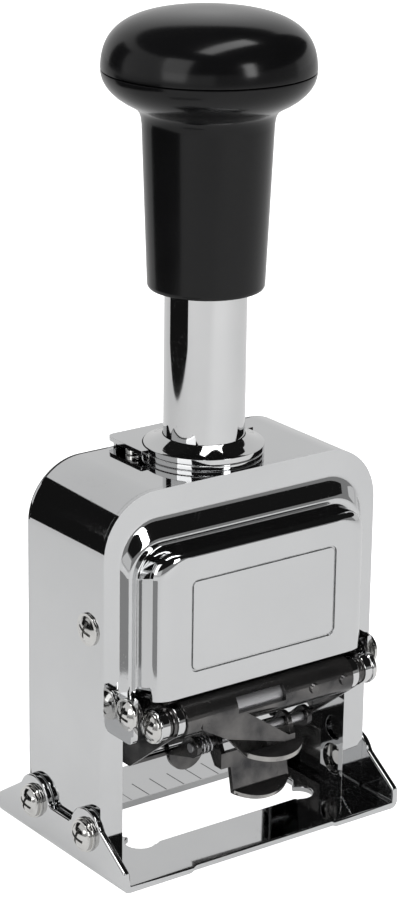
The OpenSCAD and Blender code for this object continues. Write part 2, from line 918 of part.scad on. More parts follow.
module lock_slide() {
    half = guide_x + guide_head_r + 0.1;
    fork_front = 2;
    lip_h = 3.4;
    corner_r = 2;
    back = rim_y + 0.2;
    color(chrome)
        difference() {
            union() {
                along_z(slide_z, slide_z + slide_t)
                    difference() {
                        union() {
                            translate([-half, fork_front])
                                square([2 * half, back - fork_front + slide_t - corner_r]);
                            translate([-half + corner_r, fork_front])
                                square([2 * (half - corner_r), back - fork_front + slide_t]);
                            for (s = [-1, 1])
                                translate([s * (half - corner_r), back + slide_t - corner_r])
                                    circle(corner_r);
                        }
                        circle(collar_r + 0.2);
                        translate([-collar_r - 0.2, -collar_r - 4])
                            square([2 * collar_r + 0.4, collar_r + 4]);
                    }
                // lip turned down over the rear edge
                translate([-half + corner_r, back, slide_z - lip_h])
                    cube([2 * (half - corner_r), slide_t, lip_h + eps]);
            }
            // blind seats of the pins
            both_sides()
                translate([guide_x, guide_y, slide_z - 1])
                    cylinder(h = pin_seat + 1, r = guide_pin_r + hold);
        }
}

// ---------- knob and plunger ----------

// upper half of the knob's outline in (r, z): a rounded, slightly flattened dome
function cap_point(a) =
    [cap_r * pow(cos(a), 2 / cap_round), seam_z + cap_h * pow(sin(a), 2 / cap_round)];

module knob_cap() {
    color(black)
        rotate_extrude()
            difference() {
                polygon([[0, seam_z], [cap_r, seam_z],
                         for (a = [3:3:87]) cap_point(a), [0, top_z]]);
                // the grip's spigot goes in here
                translate([-1, seam_z - 1])
                    square([spigot_r + hold + 1, spigot_h + 1]);
            }
}

// rounded underside of the knob in (r, z), from below the seam (0) to the grip (1)
function under_point(t) =
    [grip_top_r + (under_r - grip_top_r) * (1 + cos(180 * t)) / 2, under_z - under_h * t];

module knob_grip() {
    color(black)
        difference() {
            rotate_extrude()
                union() {
                    polygon([
                        [0, knob_bottom_z], [grip_r - 1, knob_bottom_z],
                        [grip_r, knob_bottom_z + 1],
                        for (k = [10:-1:0]) under_point(k / 10),
                        [0, under_z]
                    ]);
                    translate([0, seam_z - 1])
                        square([spigot_r, spigot_h]);
                }
            // seat of the plunger tube
            translate([0, 0, knob_bottom_z - 1])
                cylinder(h = tube_top_z - knob_bottom_z + 1, r = tube_r + hold);
        }
}

module plunger_tube() {
    color(chrome)
        difference() {
            translate([0, 0, tube_bottom_z])
                cylinder(h = tube_top_z - tube_bottom_z, r = tube_r);
            translate([0, 0, tube_bottom_z - 1])
                cylinder(h = tube_top_z - tube_bottom_z + 2, r = tube_in_r);
            // slots that the cross bar stands in
            translate([-tube_r - 1, -bar_half_d - slack, slot_bottom_z])
                cube([2 * tube_r + 2, 2 * (bar_half_d + slack), slot_top_z - slot_bottom_z]);
        }
}

module tube_plug() {
    color(nickel)
        translate([0, 0, plug_z])
            cylinder(h = plug_h, r = tube_in_r - hold);
}

module carriage() {
    color(nickel)
        difference() {
            union() {
                translate([-side_out, -bridge_half_d, bridge_bottom_z])
                    cube([2 * side_out, 2 * bridge_half_d, bridge_top_z - bridge_bottom_z]);
                both_sides()
                    along_x(side_in, side_out) {
                        translate([-side_front, axle_z])
                            square([side_front + side_rear, bridge_top_z - axle_z]);
                        translate([-wheel_y, axle_z])
                            circle(boss_r);
                        polygon([
                            [-side_front, axle_z + eps], [-wheel_y - 4.9, axle_z - 2.2],
                            [-wheel_y + 4.9, axle_z - 2.2], [side_rear, axle_z + eps]
                        ]);
                    }
            }
            bar_x(-side_out - 1, side_out + 1, -wheel_y, axle_z, shaft_r + hold);
            translate([0, 0, tube_bottom_z])
                cylinder(h = 10, r = tube_r + hold);
            translate([0, 0, bridge_bottom_z - 1])
                cylinder(h = 10, r = tube_in_r - 2);
        }
}

module wheel_shaft() {
    color(nickel)
        bar_x(-side_out - 0.6, side_out + 0.6, -wheel_y, axle_z, shaft_r);
}

// one number wheel: ten flat faces for the digits and a ratchet ring
module number_wheel(i) {
    x0 = -wheels_half + i * wheel_pitch + 0.1;
    face_w = wheel_w - 1.1;
    ratchet_r = wheel_r - 1.8;
    color(brass)
        difference() {
            translate([x0, -wheel_y, axle_z])
                rotate([0, 90, 0]) {
                    rotate([0, 0, 18])
                        cylinder(h = face_w, r = wheel_r, $fn = 10);
                    linear_extrude(wheel_w)
                        ratchet_plan(ratchet_r);
                }
            bar_x(x0 - 1, x0 + wheel_pitch + 1, -wheel_y, axle_z, shaft_r + run);
        }
}

// ten saw teeth round a disc
module ratchet_plan(r) {
    teeth = 10;
    polygon([for (k = [0:teeth - 1], j = [0, 1])
        let (a = (k + j * 0.85) * 360 / teeth, d = j == 0 ? r - 1.2 : r)
        [d * cos(a), d * sin(a)]]);
}

// sheet of spring fingers below the bridge, one behind each wheel
module detent_comb() {
    comb_t = 0.45;
    comb_y = wheel_r - wheel_y + 0.25;
    comb_h = 1.6;
    finger_w = 3.2;
    foot = axle_z - 0.5;
    color(nickel) {
        translate([-side_out + 0.5, comb_y, bridge_bottom_z - comb_h])
            cube([2 * side_out - 1, comb_t, comb_h]);
        for (i = [0:wheel_count - 1])
            translate([(i - (wheel_count - 1) / 2) * wheel_pitch - finger_w / 2, comb_y, foot])
                cube([finger_w, comb_t, bridge_bottom_z - comb_h - foot + eps]);
    }
}

// swing frame that turns the wheels on: two cheeks and a bar in front of them
pawl_reach = 10.6;
pawl_tilt = 22;
pawl_w = 2.6;
bar_r = 0.9;

module feed_arm() {
    cheek_x = wheels_half + 0.15;
    color(gunmetal)
        difference() {
            union() {
                both_sides()
                    along_x(cheek_x, cheek_x + cheek_t)
                        translate([-wheel_y, axle_z]) {
                            circle(4.2);
                            rotate(180 - pawl_tilt) {
                                translate([0, -2])
                                    square([pawl_reach, 4]);
                                translate([pawl_reach, 0])
                                    circle(2);
                            }
                        }
                feed_bar(cheek_x + cheek_t);
            }
            bar_x(-side_out, side_out, -wheel_y, axle_z, shaft_r + run);
        }
}

// the bar that joins the two cheeks
module feed_bar(x) {
    bar_x(-x, x, -wheel_y - pawl_reach * cos(pawl_tilt), axle_z + pawl_reach * sin(pawl_tilt), bar_r);
}

module feed_pawls() {
    color(nickel)
        for (i = [0:wheel_count - 1])
            difference() {
                translate([(i - (wheel_count - 1) / 2) * wheel_pitch - pawl_w / 2,
                           -wheel_y, axle_z])
                    rotate([90, 0, 90])
                        linear_extrude(pawl_w)
                            rotate(180 - pawl_tilt)
                                translate([pawl_reach, 0]) {
                                    circle(1.5);
                                    polygon([[-2.2, -0.2], [0.4, -1.4], [0.4, 1.4], [-1, 1.3]]);
                                }
                feed_bar(side_out);
            }
}

// ---------- pad holder ----------

module pad_cradle() {
    floor_t = 0.8;
    floor_z = tray_z - floor_t - 0.05;
    front = tray_front - 0.6;
    rear = tray_d - tray_front - 1;
    hub_r = 3.1;
    tab_x = -9.5;
    tab_r = 4.4;
    color(gunmetal)
        difference() {
            union() {
                // floor under the tray
                translate([-arm_in - eps, -front, floor_z])
                    cube([2 * (arm_in + eps), front + rear, floor_t]);
                // arms up to the pivot
                both_sides()
                    along_x(arm_in, arm_in + arm_t)
                        arm_side(hub_r, front, rear, floor_z);
                // lugs that hold the pin of the release lever
                both_sides()
                    along_x(lug_in, lug_out) {
                        translate([-pin_y, pin_z])
                            circle(2.2);
                        polygon([
                            [-front + 1, floor_z], [-front + 1, floor_z + floor_t],
                            [-tray_front - 0.3, floor_z + floor_t],
                            [-pin_y + 1.7, pin_z + 1.4], [-pin_y - 1.2, pin_z - 1.85]
                        ]);
                    }
                // round tab turned down at the front edge
                along_y(-front - 0.05, -front + sheet_t)
                    intersection() {
                        translate([tab_x, floor_z])
                            circle(tab_r);
                        translate([tab_x - tab_r, floor_z - tab_r])
                            square([2 * tab_r, tab_r + 0.4]);
                    }
            }
            bar_x(-half_w, half_w, -pivot_y, pivot_z, pivot_r + run);
            bar_x(-half_w, half_w, -pin_y, pin_z, pin_r + hold);
        }
}

// side view of an arm of the cradle in (y, z)
module arm_side(hub_r, front, rear, floor_z) {
    translate([-pivot_y, pivot_z])
        circle(hub_r);
    polygon([
        [-pivot_y - 2.6, pivot_z - 2.3], [-front, floor_z], [rear, floor_z],
        [rear, floor_z + 3.2], [-front + 3, floor_z + 5.2], [-pivot_y + 2.2, pivot_z + 2.7]
    ]);
}

module pad_tray() {
    wall = 0.8;
    tray_h = 4.9;
    inner_w = tray_w - 2 * wall;
    inner_d = tray_d - 2 * wall;
    middle_y = tray_d / 2 - tray_front;
    color(chrome)
        difference() {
            translate([-tray_w / 2, -tray_front, tray_z])
                along_x(0, tray_w)
                    tray_side(tray_d, tray_h);
            along_z(tray_z + wall, tray_z + tray_h + 1)
                translate([0, middle_y])
                    round_rect(inner_w, inner_d, 0.8);
        }
}

// side view of the tray in (y, z): its front lower edge is rounded
module tray_side(d, h) {
    r = 1.6;
    translate([0, r])
        square([d, h - r]);
    translate([r, 0])
        square([d - r, h]);
    translate([r, r])
        circle(r);
}

module ink_pad() {
    wall = 0.8;
    gap = 0.1;
    pad_w = tray_w - 2 * wall - 2 * gap;
    pad_d = tray_d - 2 * wall - 2 * gap;
    pad_top = axle_z - wheel_r - 0.5;
    color(felt)
        along_z(tray_z + wall, pad_top)
            translate([0, tray_d / 2 - tray_front])
                round_rect(pad_w, pad_d, 0.8);
}

// dark sheet rolled round the pad tube, with the upper finger tongue
module pad_sleeve() {
    fold_y = pivot_y + upper_fold_out;
    fold_z = pivot_z - upper_fold_drop;
    lip_droop = 10;
    window_x = -2.6;
    window_half = 6;
    color(gunmetal)
        difference() {
            union() {
                bar_x(-sleeve_x, sleeve_x, -pivot_y, pivot_z, sleeve_r);
                intersection() {
                    along_x(-root_left - root_w, tongue_half_w + 1)
                        tongue_side(fold_y, fold_z);
                    along_y(-fold_y - 3, 0)
                        tongue_front(fold_z);
                }
                translate([0, -fold_y + 0.35, fold_z + 0.07])
                    finger_lip(upper_lip + 0.35, lip_droop);
            }
            bar_x(-half_w, half_w, -pivot_y, pivot_z, sleeve_r - sheet_t);
            // window in the front of the rolled sheet
            translate([window_x - window_half, -pivot_y - sleeve_r - 1, pivot_z - 0.4])
                cube([2 * window_half, sleeve_r + 0.2, 3.2]);
        }
}

// side view of the upper tongue in (y, z)
module tongue_side(fold_y, fold_z) {
    t = sheet_t;
    front = pivot_y + sleeve_r;
    polygon([
        [-front, pivot_z], [-front + t, pivot_z], [-front + t - 0.1, fold_z + 6],
        [-fold_y + t - 0.2, fold_z], [-fold_y, fold_z], [-front - 0.1, fold_z + 5.4]
    ]);
}

// front view of the upper tongue in (x, z): it runs down from its root to the middle
module tongue_front(fold_z) {
    left = -root_left - root_w / 2;
    polygon([
        [left, pivot_z + 1], [left, pivot_z - 1.8], [-tongue_half_w - 4.3, fold_z + 4.9],
        [-tongue_half_w, fold_z], [tongue_half_w, fold_z], [left + root_w, pivot_z],
        [left + root_w, pivot_z + 1]
    ]);
}

// a half-moon lip that a finger presses: its straight edge lies along X
module finger_lip(length, droop) {
    lip_r = (tongue_half_w * tongue_half_w + length * length) / (2 * length);
    rotate([droop, 0, 0])
        linear_extrude(sheet_t)
            intersection() {
                translate([0, lip_r - length])
                    circle(lip_r);
                translate([-tongue_half_w, -length - 1])
                    square([2 * tongue_half_w, length + 1]);
            }
}

// light tube inside the rolled sheet, which turns on the pivot shaft
module pad_tube() {
    color(nickel)
        difference() {
            bar_x(-sleeve_x, sleeve_x, -pivot_y, pivot_z, sleeve_r - sheet_t - hold);
            bar_x(-half_w, half_w, -pivot_y, pivot_z, pivot_r + run);
        }
}

module pad_rings() {
    color(nickel)
        both_sides()
            difference() {
                bar_x(ring_in, tray_w / 2, -pivot_y, pivot_z, head_r + 0.1);
                bar_x(ring_in - 1, tray_w / 2 + 1, -pivot_y, pivot_z, pivot_r + run);
            }
}

module pad_rivets() {
    color(gunmetal)
        for (x = [sleeve_x - rivet_out - rivet_gap, sleeve_x - rivet_out])
            difference() {
                translate([x, -pivot_y - sleeve_r + 0.6, pivot_z + 0.4])
                    rotate([90, 0, 0])
                        cylinder(h = 1.1, r1 = 1.3, r2 = 0.9);
                bar_x(x - 2, x + 2, -pivot_y, pivot_z, sleeve_r + run);
            }
}

// ---------- release lever ----------

module lever_pin() {
    color(nickel)
        bar_x(-lug_out - 0.4, lug_out + 0.4, -pin_y, pin_z, pin_r);
}

module release_lever() {
    fold_y = pin_y + lower_fold_out;
    fold_z = pin_z - lower_fold_drop;
    lip_droop = 25;
    color(gunmetal)
        difference() {
            union() {
                along_x(-tongue_half_w, tongue_half_w)
                    lever_side(fold_y, fold_z);
                translate([0, -fold_y + 0.3, fold_z])
                    finger_lip(lower_lip + 0.3, lip_droop);
                both_sides()
                    along_x(cheek_in, cheek_out)
                        cheek_side();
                translate([-cheek_out, -pin_y - 3.3, pin_z - 5])
                    cube([2 * cheek_out, sheet_t, 3.4]);
            }
            bar_x(-half_w, half_w, -pin_y, pin_z, pin_r + run);
        }
}

// side view of the lever's finger sheet in (y, z)
module lever_side(fold_y, fold_z) {
    t = sheet_t;
    top_y = pin_y + 3.3;
    polygon([
        [-top_y, pin_z - 2], [-top_y + t, pin_z - 2], [-top_y + t, pin_z - 5],
        [-fold_y + t, fold_z], [-fold_y, fold_z], [-top_y, pin_z - 5]
    ]);
}

// side view of a cheek of the lever in (y, z): round at the pin
module cheek_side() {
    translate([-pin_y, pin_z])
        circle(2.3);
    polygon([
        [-pin_y - 2.3, pin_z], [-pin_y - 3.3, pin_z - 2], [-pin_y - 3.3, pin_z - 5],
        [-pin_y - 1, pin_z - 5], [-pin_y + 2.3, pin_z]
    ]);
}

module lever_spring() {
    x0 = -lug_in + 0.5;
    color(nickel)
        translate([x0, -pin_y, pin_z])
            rotate([0, 90, 0])
                coil(coil_r, coil_wire, coil_turns, coil_pitch * coil_turns, 0);
}

// least gaps of the two springs to themselves, printed for the record
echo(main_spring_gap = (plug_z - spring_wire - 0.2 - bar_top_z) / spring_turns - spring_wire);
echo(lever_spring_gap = coil_pitch - coil_wire);

base_plate();
base_screws();
base_washers();
base_nuts();
outer_frame();
front_cover();
rear_cover();
side_screws();
tab_screws();
pivot_bracket();
pivot_shaft();
pivot_screws();
pivot_spacers();
cross_bar();
spring_post();
main_spring();
collar_bush();
collar_disc();
slide_pins();
lock_slide();
knob_cap();
knob_grip();
plunger_tube();
tube_plug();
carriage();
wheel_shaft();
detent_comb();
number_wheel(0);  // wheel_1
number_wheel(1);  // wheel_2
number_wheel(2);  // wheel_3
number_wheel(3);  // wheel_4
number_wheel(4);  // wheel_5
number_wheel(5);  // wheel_6
feed_arm();
feed_pawls();
pad_cradle();
pad_tray();
ink_pad();
pad_sleeve();
pad_tube();
pad_rings();
pad_rivets();
lever_pin();
release_lever();
lever_spring();
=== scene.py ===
"""Looks of a hand numbering machine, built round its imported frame.

The machine stands on the paper at z = 0. X runs across its front, Y to the back, Z up. Lengths
are millimetres and angles are degrees, and both change where Blender takes them. Values inside the
shader groups are Blender's own, and so are names that end in _m or _rad.
"""

import json
import logging
import math
from dataclasses import dataclass, field
from enum import Enum
from typing import Callable, Iterable, Sequence

import bmesh
import bpy
from mathutils import Matrix, Vector
from mathutils.geometry import tessellate_polygon


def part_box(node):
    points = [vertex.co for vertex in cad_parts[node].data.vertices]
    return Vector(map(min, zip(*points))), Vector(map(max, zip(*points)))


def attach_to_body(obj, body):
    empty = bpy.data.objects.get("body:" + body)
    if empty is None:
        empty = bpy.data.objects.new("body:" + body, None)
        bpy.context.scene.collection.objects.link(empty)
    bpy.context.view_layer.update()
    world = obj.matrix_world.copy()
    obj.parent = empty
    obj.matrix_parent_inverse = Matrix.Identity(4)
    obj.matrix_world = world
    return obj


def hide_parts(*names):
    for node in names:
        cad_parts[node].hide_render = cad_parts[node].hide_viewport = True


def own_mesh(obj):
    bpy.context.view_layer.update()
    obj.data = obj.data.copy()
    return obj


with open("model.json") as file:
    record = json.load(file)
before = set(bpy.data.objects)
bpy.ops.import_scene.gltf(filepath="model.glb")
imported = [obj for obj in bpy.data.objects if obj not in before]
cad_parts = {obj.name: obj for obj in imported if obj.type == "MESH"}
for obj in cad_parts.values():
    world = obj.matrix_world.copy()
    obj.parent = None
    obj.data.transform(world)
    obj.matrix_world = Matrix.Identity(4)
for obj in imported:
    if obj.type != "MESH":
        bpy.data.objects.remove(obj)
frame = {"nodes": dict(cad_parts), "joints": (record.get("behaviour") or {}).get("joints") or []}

LOG = logging.getLogger("numbering_machine")
MM = 0.001
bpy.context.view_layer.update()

# Angles from which an edge is shaded as a crease, or rounded.
CREASE = 32.0
SOFT_CREASE = 40.0
PAD_CREASE = 50.0
SHARP = 30.0
CUT_SHARP = 50.0

# Faces within this angle of each other are one face, and points this near are one point.
PLATE_FLAT = 0.5
COPY_FLAT = 0.6
WELD = 0.002

AXIS_R = 1e-6
FLAT_FACE_WEIGHT = 80
MIX_COLOURS = (6, 7)
MIX_RESULT = 2
Point = tuple[float, float]
Point3 = tuple[float, float, float]


# ---------------------------------------------------------------- small geometry

def arc(cx: float, cy: float, r: float, start: float, end: float, steps: int) -> list[Point]:
    """Points of an arc.

    Args:
        cx, cy: centre. r: radius. start, end: angles in degrees. steps: number of chords.

    Returns:
        steps + 1 points from start to end.
    """
    turn = (end - start) / steps
    return [(cx + r * math.cos(math.radians(start + turn * i)),
             cy + r * math.sin(math.radians(start + turn * i))) for i in range(steps + 1)]


def rounded(points: Sequence[tuple[float, float, float]], steps: int = 6) -> list[Point]:
    """A closed outline whose corners are rounded.

    Args:
        points: corners as (x, y, radius). steps: chords of each rounded corner.

    Returns:
        The outline's points in the same order.
    """
    outline: list[Point] = []
    count = len(points)
    for i, (x, y, r) in enumerate(points):
        here = Vector((x, y))
        if r <= 0:
            outline.append((x, y))
            continue
        before = (Vector(points[i - 1][:2]) - here).normalized()
        after = (Vector(points[(i + 1) % count][:2]) - here).normalized()
        half = before.angle(after) / 2
        reach = r / math.tan(half)
        centre = here + (before + after).normalized() * (r / math.sin(half))
        first, last = here + before * reach - centre, here + after * reach - centre
        sweep = first.angle_signed(last)
        for k in range(steps + 1):
            turned = first.copy()
            turned.rotate(Matrix.Rotation(-sweep * k / steps, 2))
            outline.append(tuple(centre + turned))
    return outline


def make_object(name: str, mesh: bpy.types.Mesh) -> bpy.types.Object:
    """Links a mesh into the scene as a named object."""
    made = bpy.data.objects.new(name, mesh)
    bpy.context.scene.collection.objects.link(made)
    return made


def smooth(target: bpy.types.Object, angle: float) -> bpy.types.Object:
    """Shades an object smooth, with crisp edges above an angle and flat faces kept flat."""
    mesh = target.data
    mesh.shade_smooth()
    mesh.set_sharp_from_angle(angle=math.radians(angle))
    weighted = target.modifiers.new("weighted", "WEIGHTED_NORMAL")
    weighted.keep_sharp = True
    weighted.weight = FLAT_FACE_WEIGHT
    return target


def from_bmesh(name: str, work: bmesh.types.BMesh, angle: float = CREASE) -> bpy.types.Object:
    """Turns a bmesh in millimetres into a smooth shaded object in metres."""
    bmesh.ops.recalc_face_normals(work, faces=work.faces)
    bmesh.ops.scale(work, vec=(MM, MM, MM), verts=work.verts)
    mesh = bpy.data.meshes.new(name)
    work.to_mesh(mesh)
    work.free()
    return smooth(make_object(name, mesh), angle)


def merge_flat(work: bmesh.types.BMesh, within: float) -> None:
    """Joins the faces of a bmesh that lie in one plane, within an angle."""
    bmesh.ops.dissolve_limit(work, angle_limit=math.radians(within), verts=work.verts,
                             edges=work.edges, delimit=set())


def round_edges(work: bmesh.types.BMesh, radius: float, angle: float = SHARP, segments: int = 2,
                wanted: Callable[[Vector, float], bool] | None = None,
                clamp: bool = True) -> None:
    """Rounds the sharp edges of a bmesh in place.

    Args:
        work: the mesh, in millimetres. radius: size of the rounding. angle: edges bent by more
            than this many degrees are rounded. segments: faces across a rounding.
        wanted: takes an edge's middle and length and says whether it is rounded.
        clamp: makes the rounding smaller everywhere where it would meet another one.
    """
    edges = []
    for edge in work.edges:
        if len(edge.link_faces) != 2 or edge.calc_face_angle(0.0) < math.radians(angle):
            continue
        middle = (edge.verts[0].co + edge.verts[1].co) / 2
        if wanted is None or wanted(middle, edge.calc_length()):
            edges.append(edge)
    bmesh.ops.bevel(work, geom=edges, offset=radius, offset_type="OFFSET", segments=segments,
                    profile=0.5, affect="EDGES", clamp_overlap=clamp)


def plate_across_x(work: bmesh.types.BMesh, outline: Sequence[Point], hole: Sequence[Point],
                   low: float, high: float) -> None:
    """Adds a plate with a hole, as thick as its two faces are apart along X, to a bmesh.

    Args:
        work: the mesh that receives the plate. outline, hole: its points in (y, z).
        low, high: the x of its two faces.
    """
    loops = [list(outline), list(hole)]
    flat = [point for loop in loops for point in loop]
    triangles = tessellate_polygon([[Vector((y, z, 0.0)) for y, z in loop] for loop in loops])
    lower = [work.verts.new((low, y, z)) for y, z in flat]
    upper = [work.verts.new((high, y, z)) for y, z in flat]
    for a, b, c in triangles:
        work.faces.new((lower[a], lower[b], lower[c]))
        work.faces.new((upper[c], upper[b], upper[a]))
    start = 0
    for loop in loops:
        for i in range(len(loop)):
            a, b = start + i, start + (i + 1) % len(loop)
            work.faces.new((lower[a], lower[b], upper[b], upper[a]))
        start += len(loop)
    bmesh.ops.recalc_face_normals(work, faces=work.faces)
    merge_flat(work, PLATE_FLAT)


def lathe(work: bmesh.types.BMesh, profile: Sequence[Point], segments: int,
          closed: bool = False) -> None:
    """Adds a form turned about Z to a bmesh.

    Args:
        work: the mesh that receives it. profile: (radius, height) points. segments: faces round
            it. closed: the profile is a ring.
    """
    rings = []
    for r, h in profile:
        ring = []
        for k in range(segments if r > AXIS_R else 1):
            a = 2 * math.pi * k / segments
            ring.append(work.verts.new((r * math.cos(a), r * math.sin(a), h)))
        rings.append(ring)
    pairs = list(zip(rings, rings[1:]))
    if closed:
        pairs.append((rings[-1], rings[0]))
    for first, second in pairs:
        for k in range(segments):
            n = (k + 1) % segments
            corners = [first[k % len(first)], first[n % len(first)],
                       second[n % len(second)], second[k % len(second)]]
            face = list(dict.fromkeys(corners))
            if len(face) >= 3:
                work.faces.new(face)


def loft(work: bmesh.types.BMesh, rings: Sequence[Sequence[Point3]], closed: bool) -> list:
    """Joins rings of points with faces.

    Args:
        work: the mesh that receives them. rings: rows with the same number of points each.
        closed: whether each row closes on itself.

    Returns:
        The vertices of each row.
    """
    made = [[work.verts.new(point) for point in ring] for ring in rings]
    for first, second in zip(made, made[1:]):
        count = len(first)
        for k in range(count if closed else count - 1):
            n = (k + 1) % count
            work.faces.new((first[k], first[n], second[n], second[k]))
    return made


def arch_line(half: float, bottom: float, top: float, r: float, depth: float,
              legs: int = 8, corner: int = 16, beam: int = 10) -> list[Point3]:
    """An arch from its left foot over the top to its right foot, at one depth.

    Args:
        half: half width. bottom, top: heights of its feet and of its top. r: corner radius.
        depth: its y. legs, corner, beam: chords of a leg, a corner and the top.

    Returns:
        The arch's points.
    """
    left = [(-half, bottom + (top - r - bottom) * i / legs) for i in range(legs)]
    left += arc(-half + r, top - r, r, 180, 90, corner)
    across = [(-half + r + 2 * (half - r) * i / beam, top) for i in range(1, beam)]
    right = [(-x, z) for x, z in reversed(left)]
    return [(x, depth, z) for x, z in [*left, *across, *right]]


def wire(name: str, points: Sequence[Point3], radius: float, sides: int = 8) -> bpy.types.Object:
    """A round wire along a line of points, as a mesh with closed ends."""
    curve = bpy.data.curves.new(name, "CURVE")
    curve.dimensions = "3D"
    curve.bevel_depth = radius * MM
    curve.bevel_resolution = sides // 2 - 1
    curve.use_fill_caps = True
    spline = curve.splines.new("POLY")
    spline.points.add(len(points) - 1)
    for place, (x, y, z) in zip(spline.points, points):
        place.co = (x * MM, y * MM, z * MM, 1)
    holder = make_object(name + "_line", curve)
    mesh = bpy.data.meshes.new_from_object(holder.evaluated_get(
        bpy.context.evaluated_depsgraph_get()))
    bpy.data.objects.remove(holder)
    bpy.data.curves.remove(curve)
    made = make_object(name, mesh)
    mesh.shade_smooth()
    return made


def cad_range(node: str) -> tuple[Vector, Vector]:
    """Lowest and highest corner of a frame node, in millimetres."""
    low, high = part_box(node)
    return low / MM, high / MM


def softened(name: str, node: str, radius: float, angle: float = SHARP, segments: int = 2,
             wanted: Callable[[Vector, float], bool] | None = None,
             clamp: bool = True) -> bpy.types.Object:
    """A copy of a frame node's form with its sharp edges rounded.

    Args:
        name: the new piece. node: the frame node. radius, angle, segments, wanted, clamp: as in
            round_edges.

    Returns:
        The new piece, which isn't attached yet.
    """
    work = bmesh.new()
    work.from_mesh(frame["nodes"][node].data)
    bmesh.ops.scale(work, vec=(1 / MM,) * 3, verts=work.verts)
    bmesh.ops.remove_doubles(work, verts=work.verts, dist=WELD)
    merge_flat(work, COPY_FLAT)
    round_edges(work, radius, angle, segments, wanted, clamp)
    return from_bmesh(name, work)


# ---------------------------------------------------------------- finishes

class Effect(Enum):
    """The shared shader groups."""
    PLATING = "plating_haze"
    SCRATCHES = "fine_scratches"
    # Dirt in corners together with painted shade from ambient occlusion.
    GRIME_AND_SHADE = "grime_and_painted_shade_in_corners"
    RIPPLE = "pressed_sheet_ripple"


class Nodes:
    """A node tree with short helpers for adding and joining nodes."""

    def __init__(self, tree: bpy.types.NodeTree) -> None:
        """Keeps the tree that the helpers work on."""
        self.tree = tree

    def add(self, kind: str, **values: object) -> bpy.types.Node:
        """Adds a node and sets its attributes or, by name with spaces as _, its sockets."""
        node = self.tree.nodes.new(kind)
        for key, value in values.items():
            if hasattr(node, key):
                setattr(node, key, value)
            else:
                node.inputs[key.replace("_", " ")].default_value = value
        return node

    def join(self, source: bpy.types.NodeSocket, target: bpy.types.NodeSocket) -> None:
        """Links one socket to another."""
        self.tree.links.new(source, target)

    def math(self, operation: str, a: object, b: object = None) -> bpy.types.NodeSocket:
        """A Math node on two sockets or numbers."""
        node = self.tree.nodes.new("ShaderNodeMath")
        node.operation = operation
        for slot, value in zip(node.inputs, (a, b)):
            if isinstance(value, bpy.types.NodeSocket):
                self.join(value, slot)
            elif value is not None:
                slot.default_value = value
        return node.outputs[0]

    def spread(self, source: bpy.types.NodeSocket, low: float = 0.0, high: float = 1.0,
               to_low: float = 0.0, to_high: float = 1.0) -> bpy.types.NodeSocket:
        """Maps a range of values to another, clamped."""
        node = self.add("ShaderNodeMapRange", clamp=True)
        self.join(source, node.inputs["Value"])
        for name, value in (("From Min", low), ("From Max", high), ("To Min", to_low),
                            ("To Max", to_high)):
            node.inputs[name].default_value = value
        return node.outputs["Result"]


def blank_nodes(owner: bpy.types.ID) -> Nodes:
    """Empties the node tree of a material or world and gives its helper."""
    owner.use_nodes = True
    owner.node_tree.nodes.clear()
    return Nodes(owner.node_tree)


def group_tree(effect: Effect, inputs: Iterable[tuple[str, float]],
               outputs: Iterable[tuple[str, str]]) -> tuple[bpy.types.NodeTree, Nodes, dict, dict]:
    """Starts a shared shader group.

    Args:
        effect: which group. inputs: names and defaults of its values. outputs: names and socket
            types of what it gives.

    Returns:
        The tree, its helper, and its input and output sockets by name.
    """
    tree = bpy.data.node_groups.new(effect.value, "ShaderNodeTree")
    for name, value in inputs:
        socket = tree.interface.new_socket(name, in_out="INPUT", socket_type="NodeSocketFloat")
        socket.default_value = value
    for name, kind in outputs:
        tree.interface.new_socket(name, in_out="OUTPUT", socket_type=kind)
    entry = tree.nodes.new("NodeGroupInput")
    leave = tree.nodes.new("NodeGroupOutput")
    return (tree, Nodes(tree), {s.name: s for s in entry.outputs},
            {s.name: s for s in leave.inputs})


def plating_haze() -> bpy.types.NodeTree:
    """Soft cloudy differences of polish, as a mask around 0.5."""
    tree, n, given, out = group_tree(
        Effect.PLATING, [("Scale", 60.0), ("Detail", 4.0)], [("Mask", "NodeSocketFloat")])
    place = n.add("ShaderNodeTexCoord")
    noise = n.add("ShaderNodeTexNoise")
    n.join(place.outputs["Object"], noise.inputs["Vector"])
    n.join(given["Scale"], noise.inputs["Scale"])
    n.join(given["Detail"], noise.inputs["Detail"])
    n.join(n.spread(noise.outputs["Fac"], low=0.3, high=0.7), out["Mask"])
    return tree


def fine_scratches() -> bpy.types.NodeTree:
    """Hair scratches in two directions, broken up by patches, as a mask."""
    tree, n, given, out = group_tree(
        Effect.SCRATCHES, [("Scale", 220.0), ("Stretch", 0.04), ("Patch", 0.55)],
        [("Mask", "NodeSocketFloat")])
    place = n.add("ShaderNodeTexCoord")
    masks = []
    directions_rad = (0.5, 2.2)
    for angle in directions_rad:
        turn = n.add("ShaderNodeMapping")
        turn.inputs["Rotation"].default_value = (angle * 0.6, angle * 0.4, angle)
        n.join(place.outputs["Object"], turn.inputs["Vector"])
        squeeze = n.add("ShaderNodeCombineXYZ", X=1.0, Z=1.0)
        n.join(given["Stretch"], squeeze.inputs["Y"])
        stretched = n.add("ShaderNodeVectorMath", operation="MULTIPLY")
        n.join(turn.outputs["Vector"], stretched.inputs[0])
        n.join(squeeze.outputs["Vector"], stretched.inputs[1])
        lines = n.add("ShaderNodeTexNoise", Detail=1.0)
        n.join(stretched.outputs["Vector"], lines.inputs["Vector"])
        n.join(n.math("MULTIPLY", given["Scale"], 12.0), lines.inputs["Scale"])
        masks.append(n.spread(lines.outputs["Fac"], low=0.66, high=0.74))
    patches = n.add("ShaderNodeTexNoise", Scale=90.0)
    n.join(place.outputs["Object"], patches.inputs["Vector"])
    shown = n.math("GREATER_THAN", patches.outputs["Fac"], given["Patch"])
    n.join(n.math("MULTIPLY", n.math("MAXIMUM", *masks), shown), out["Mask"])
    return tree


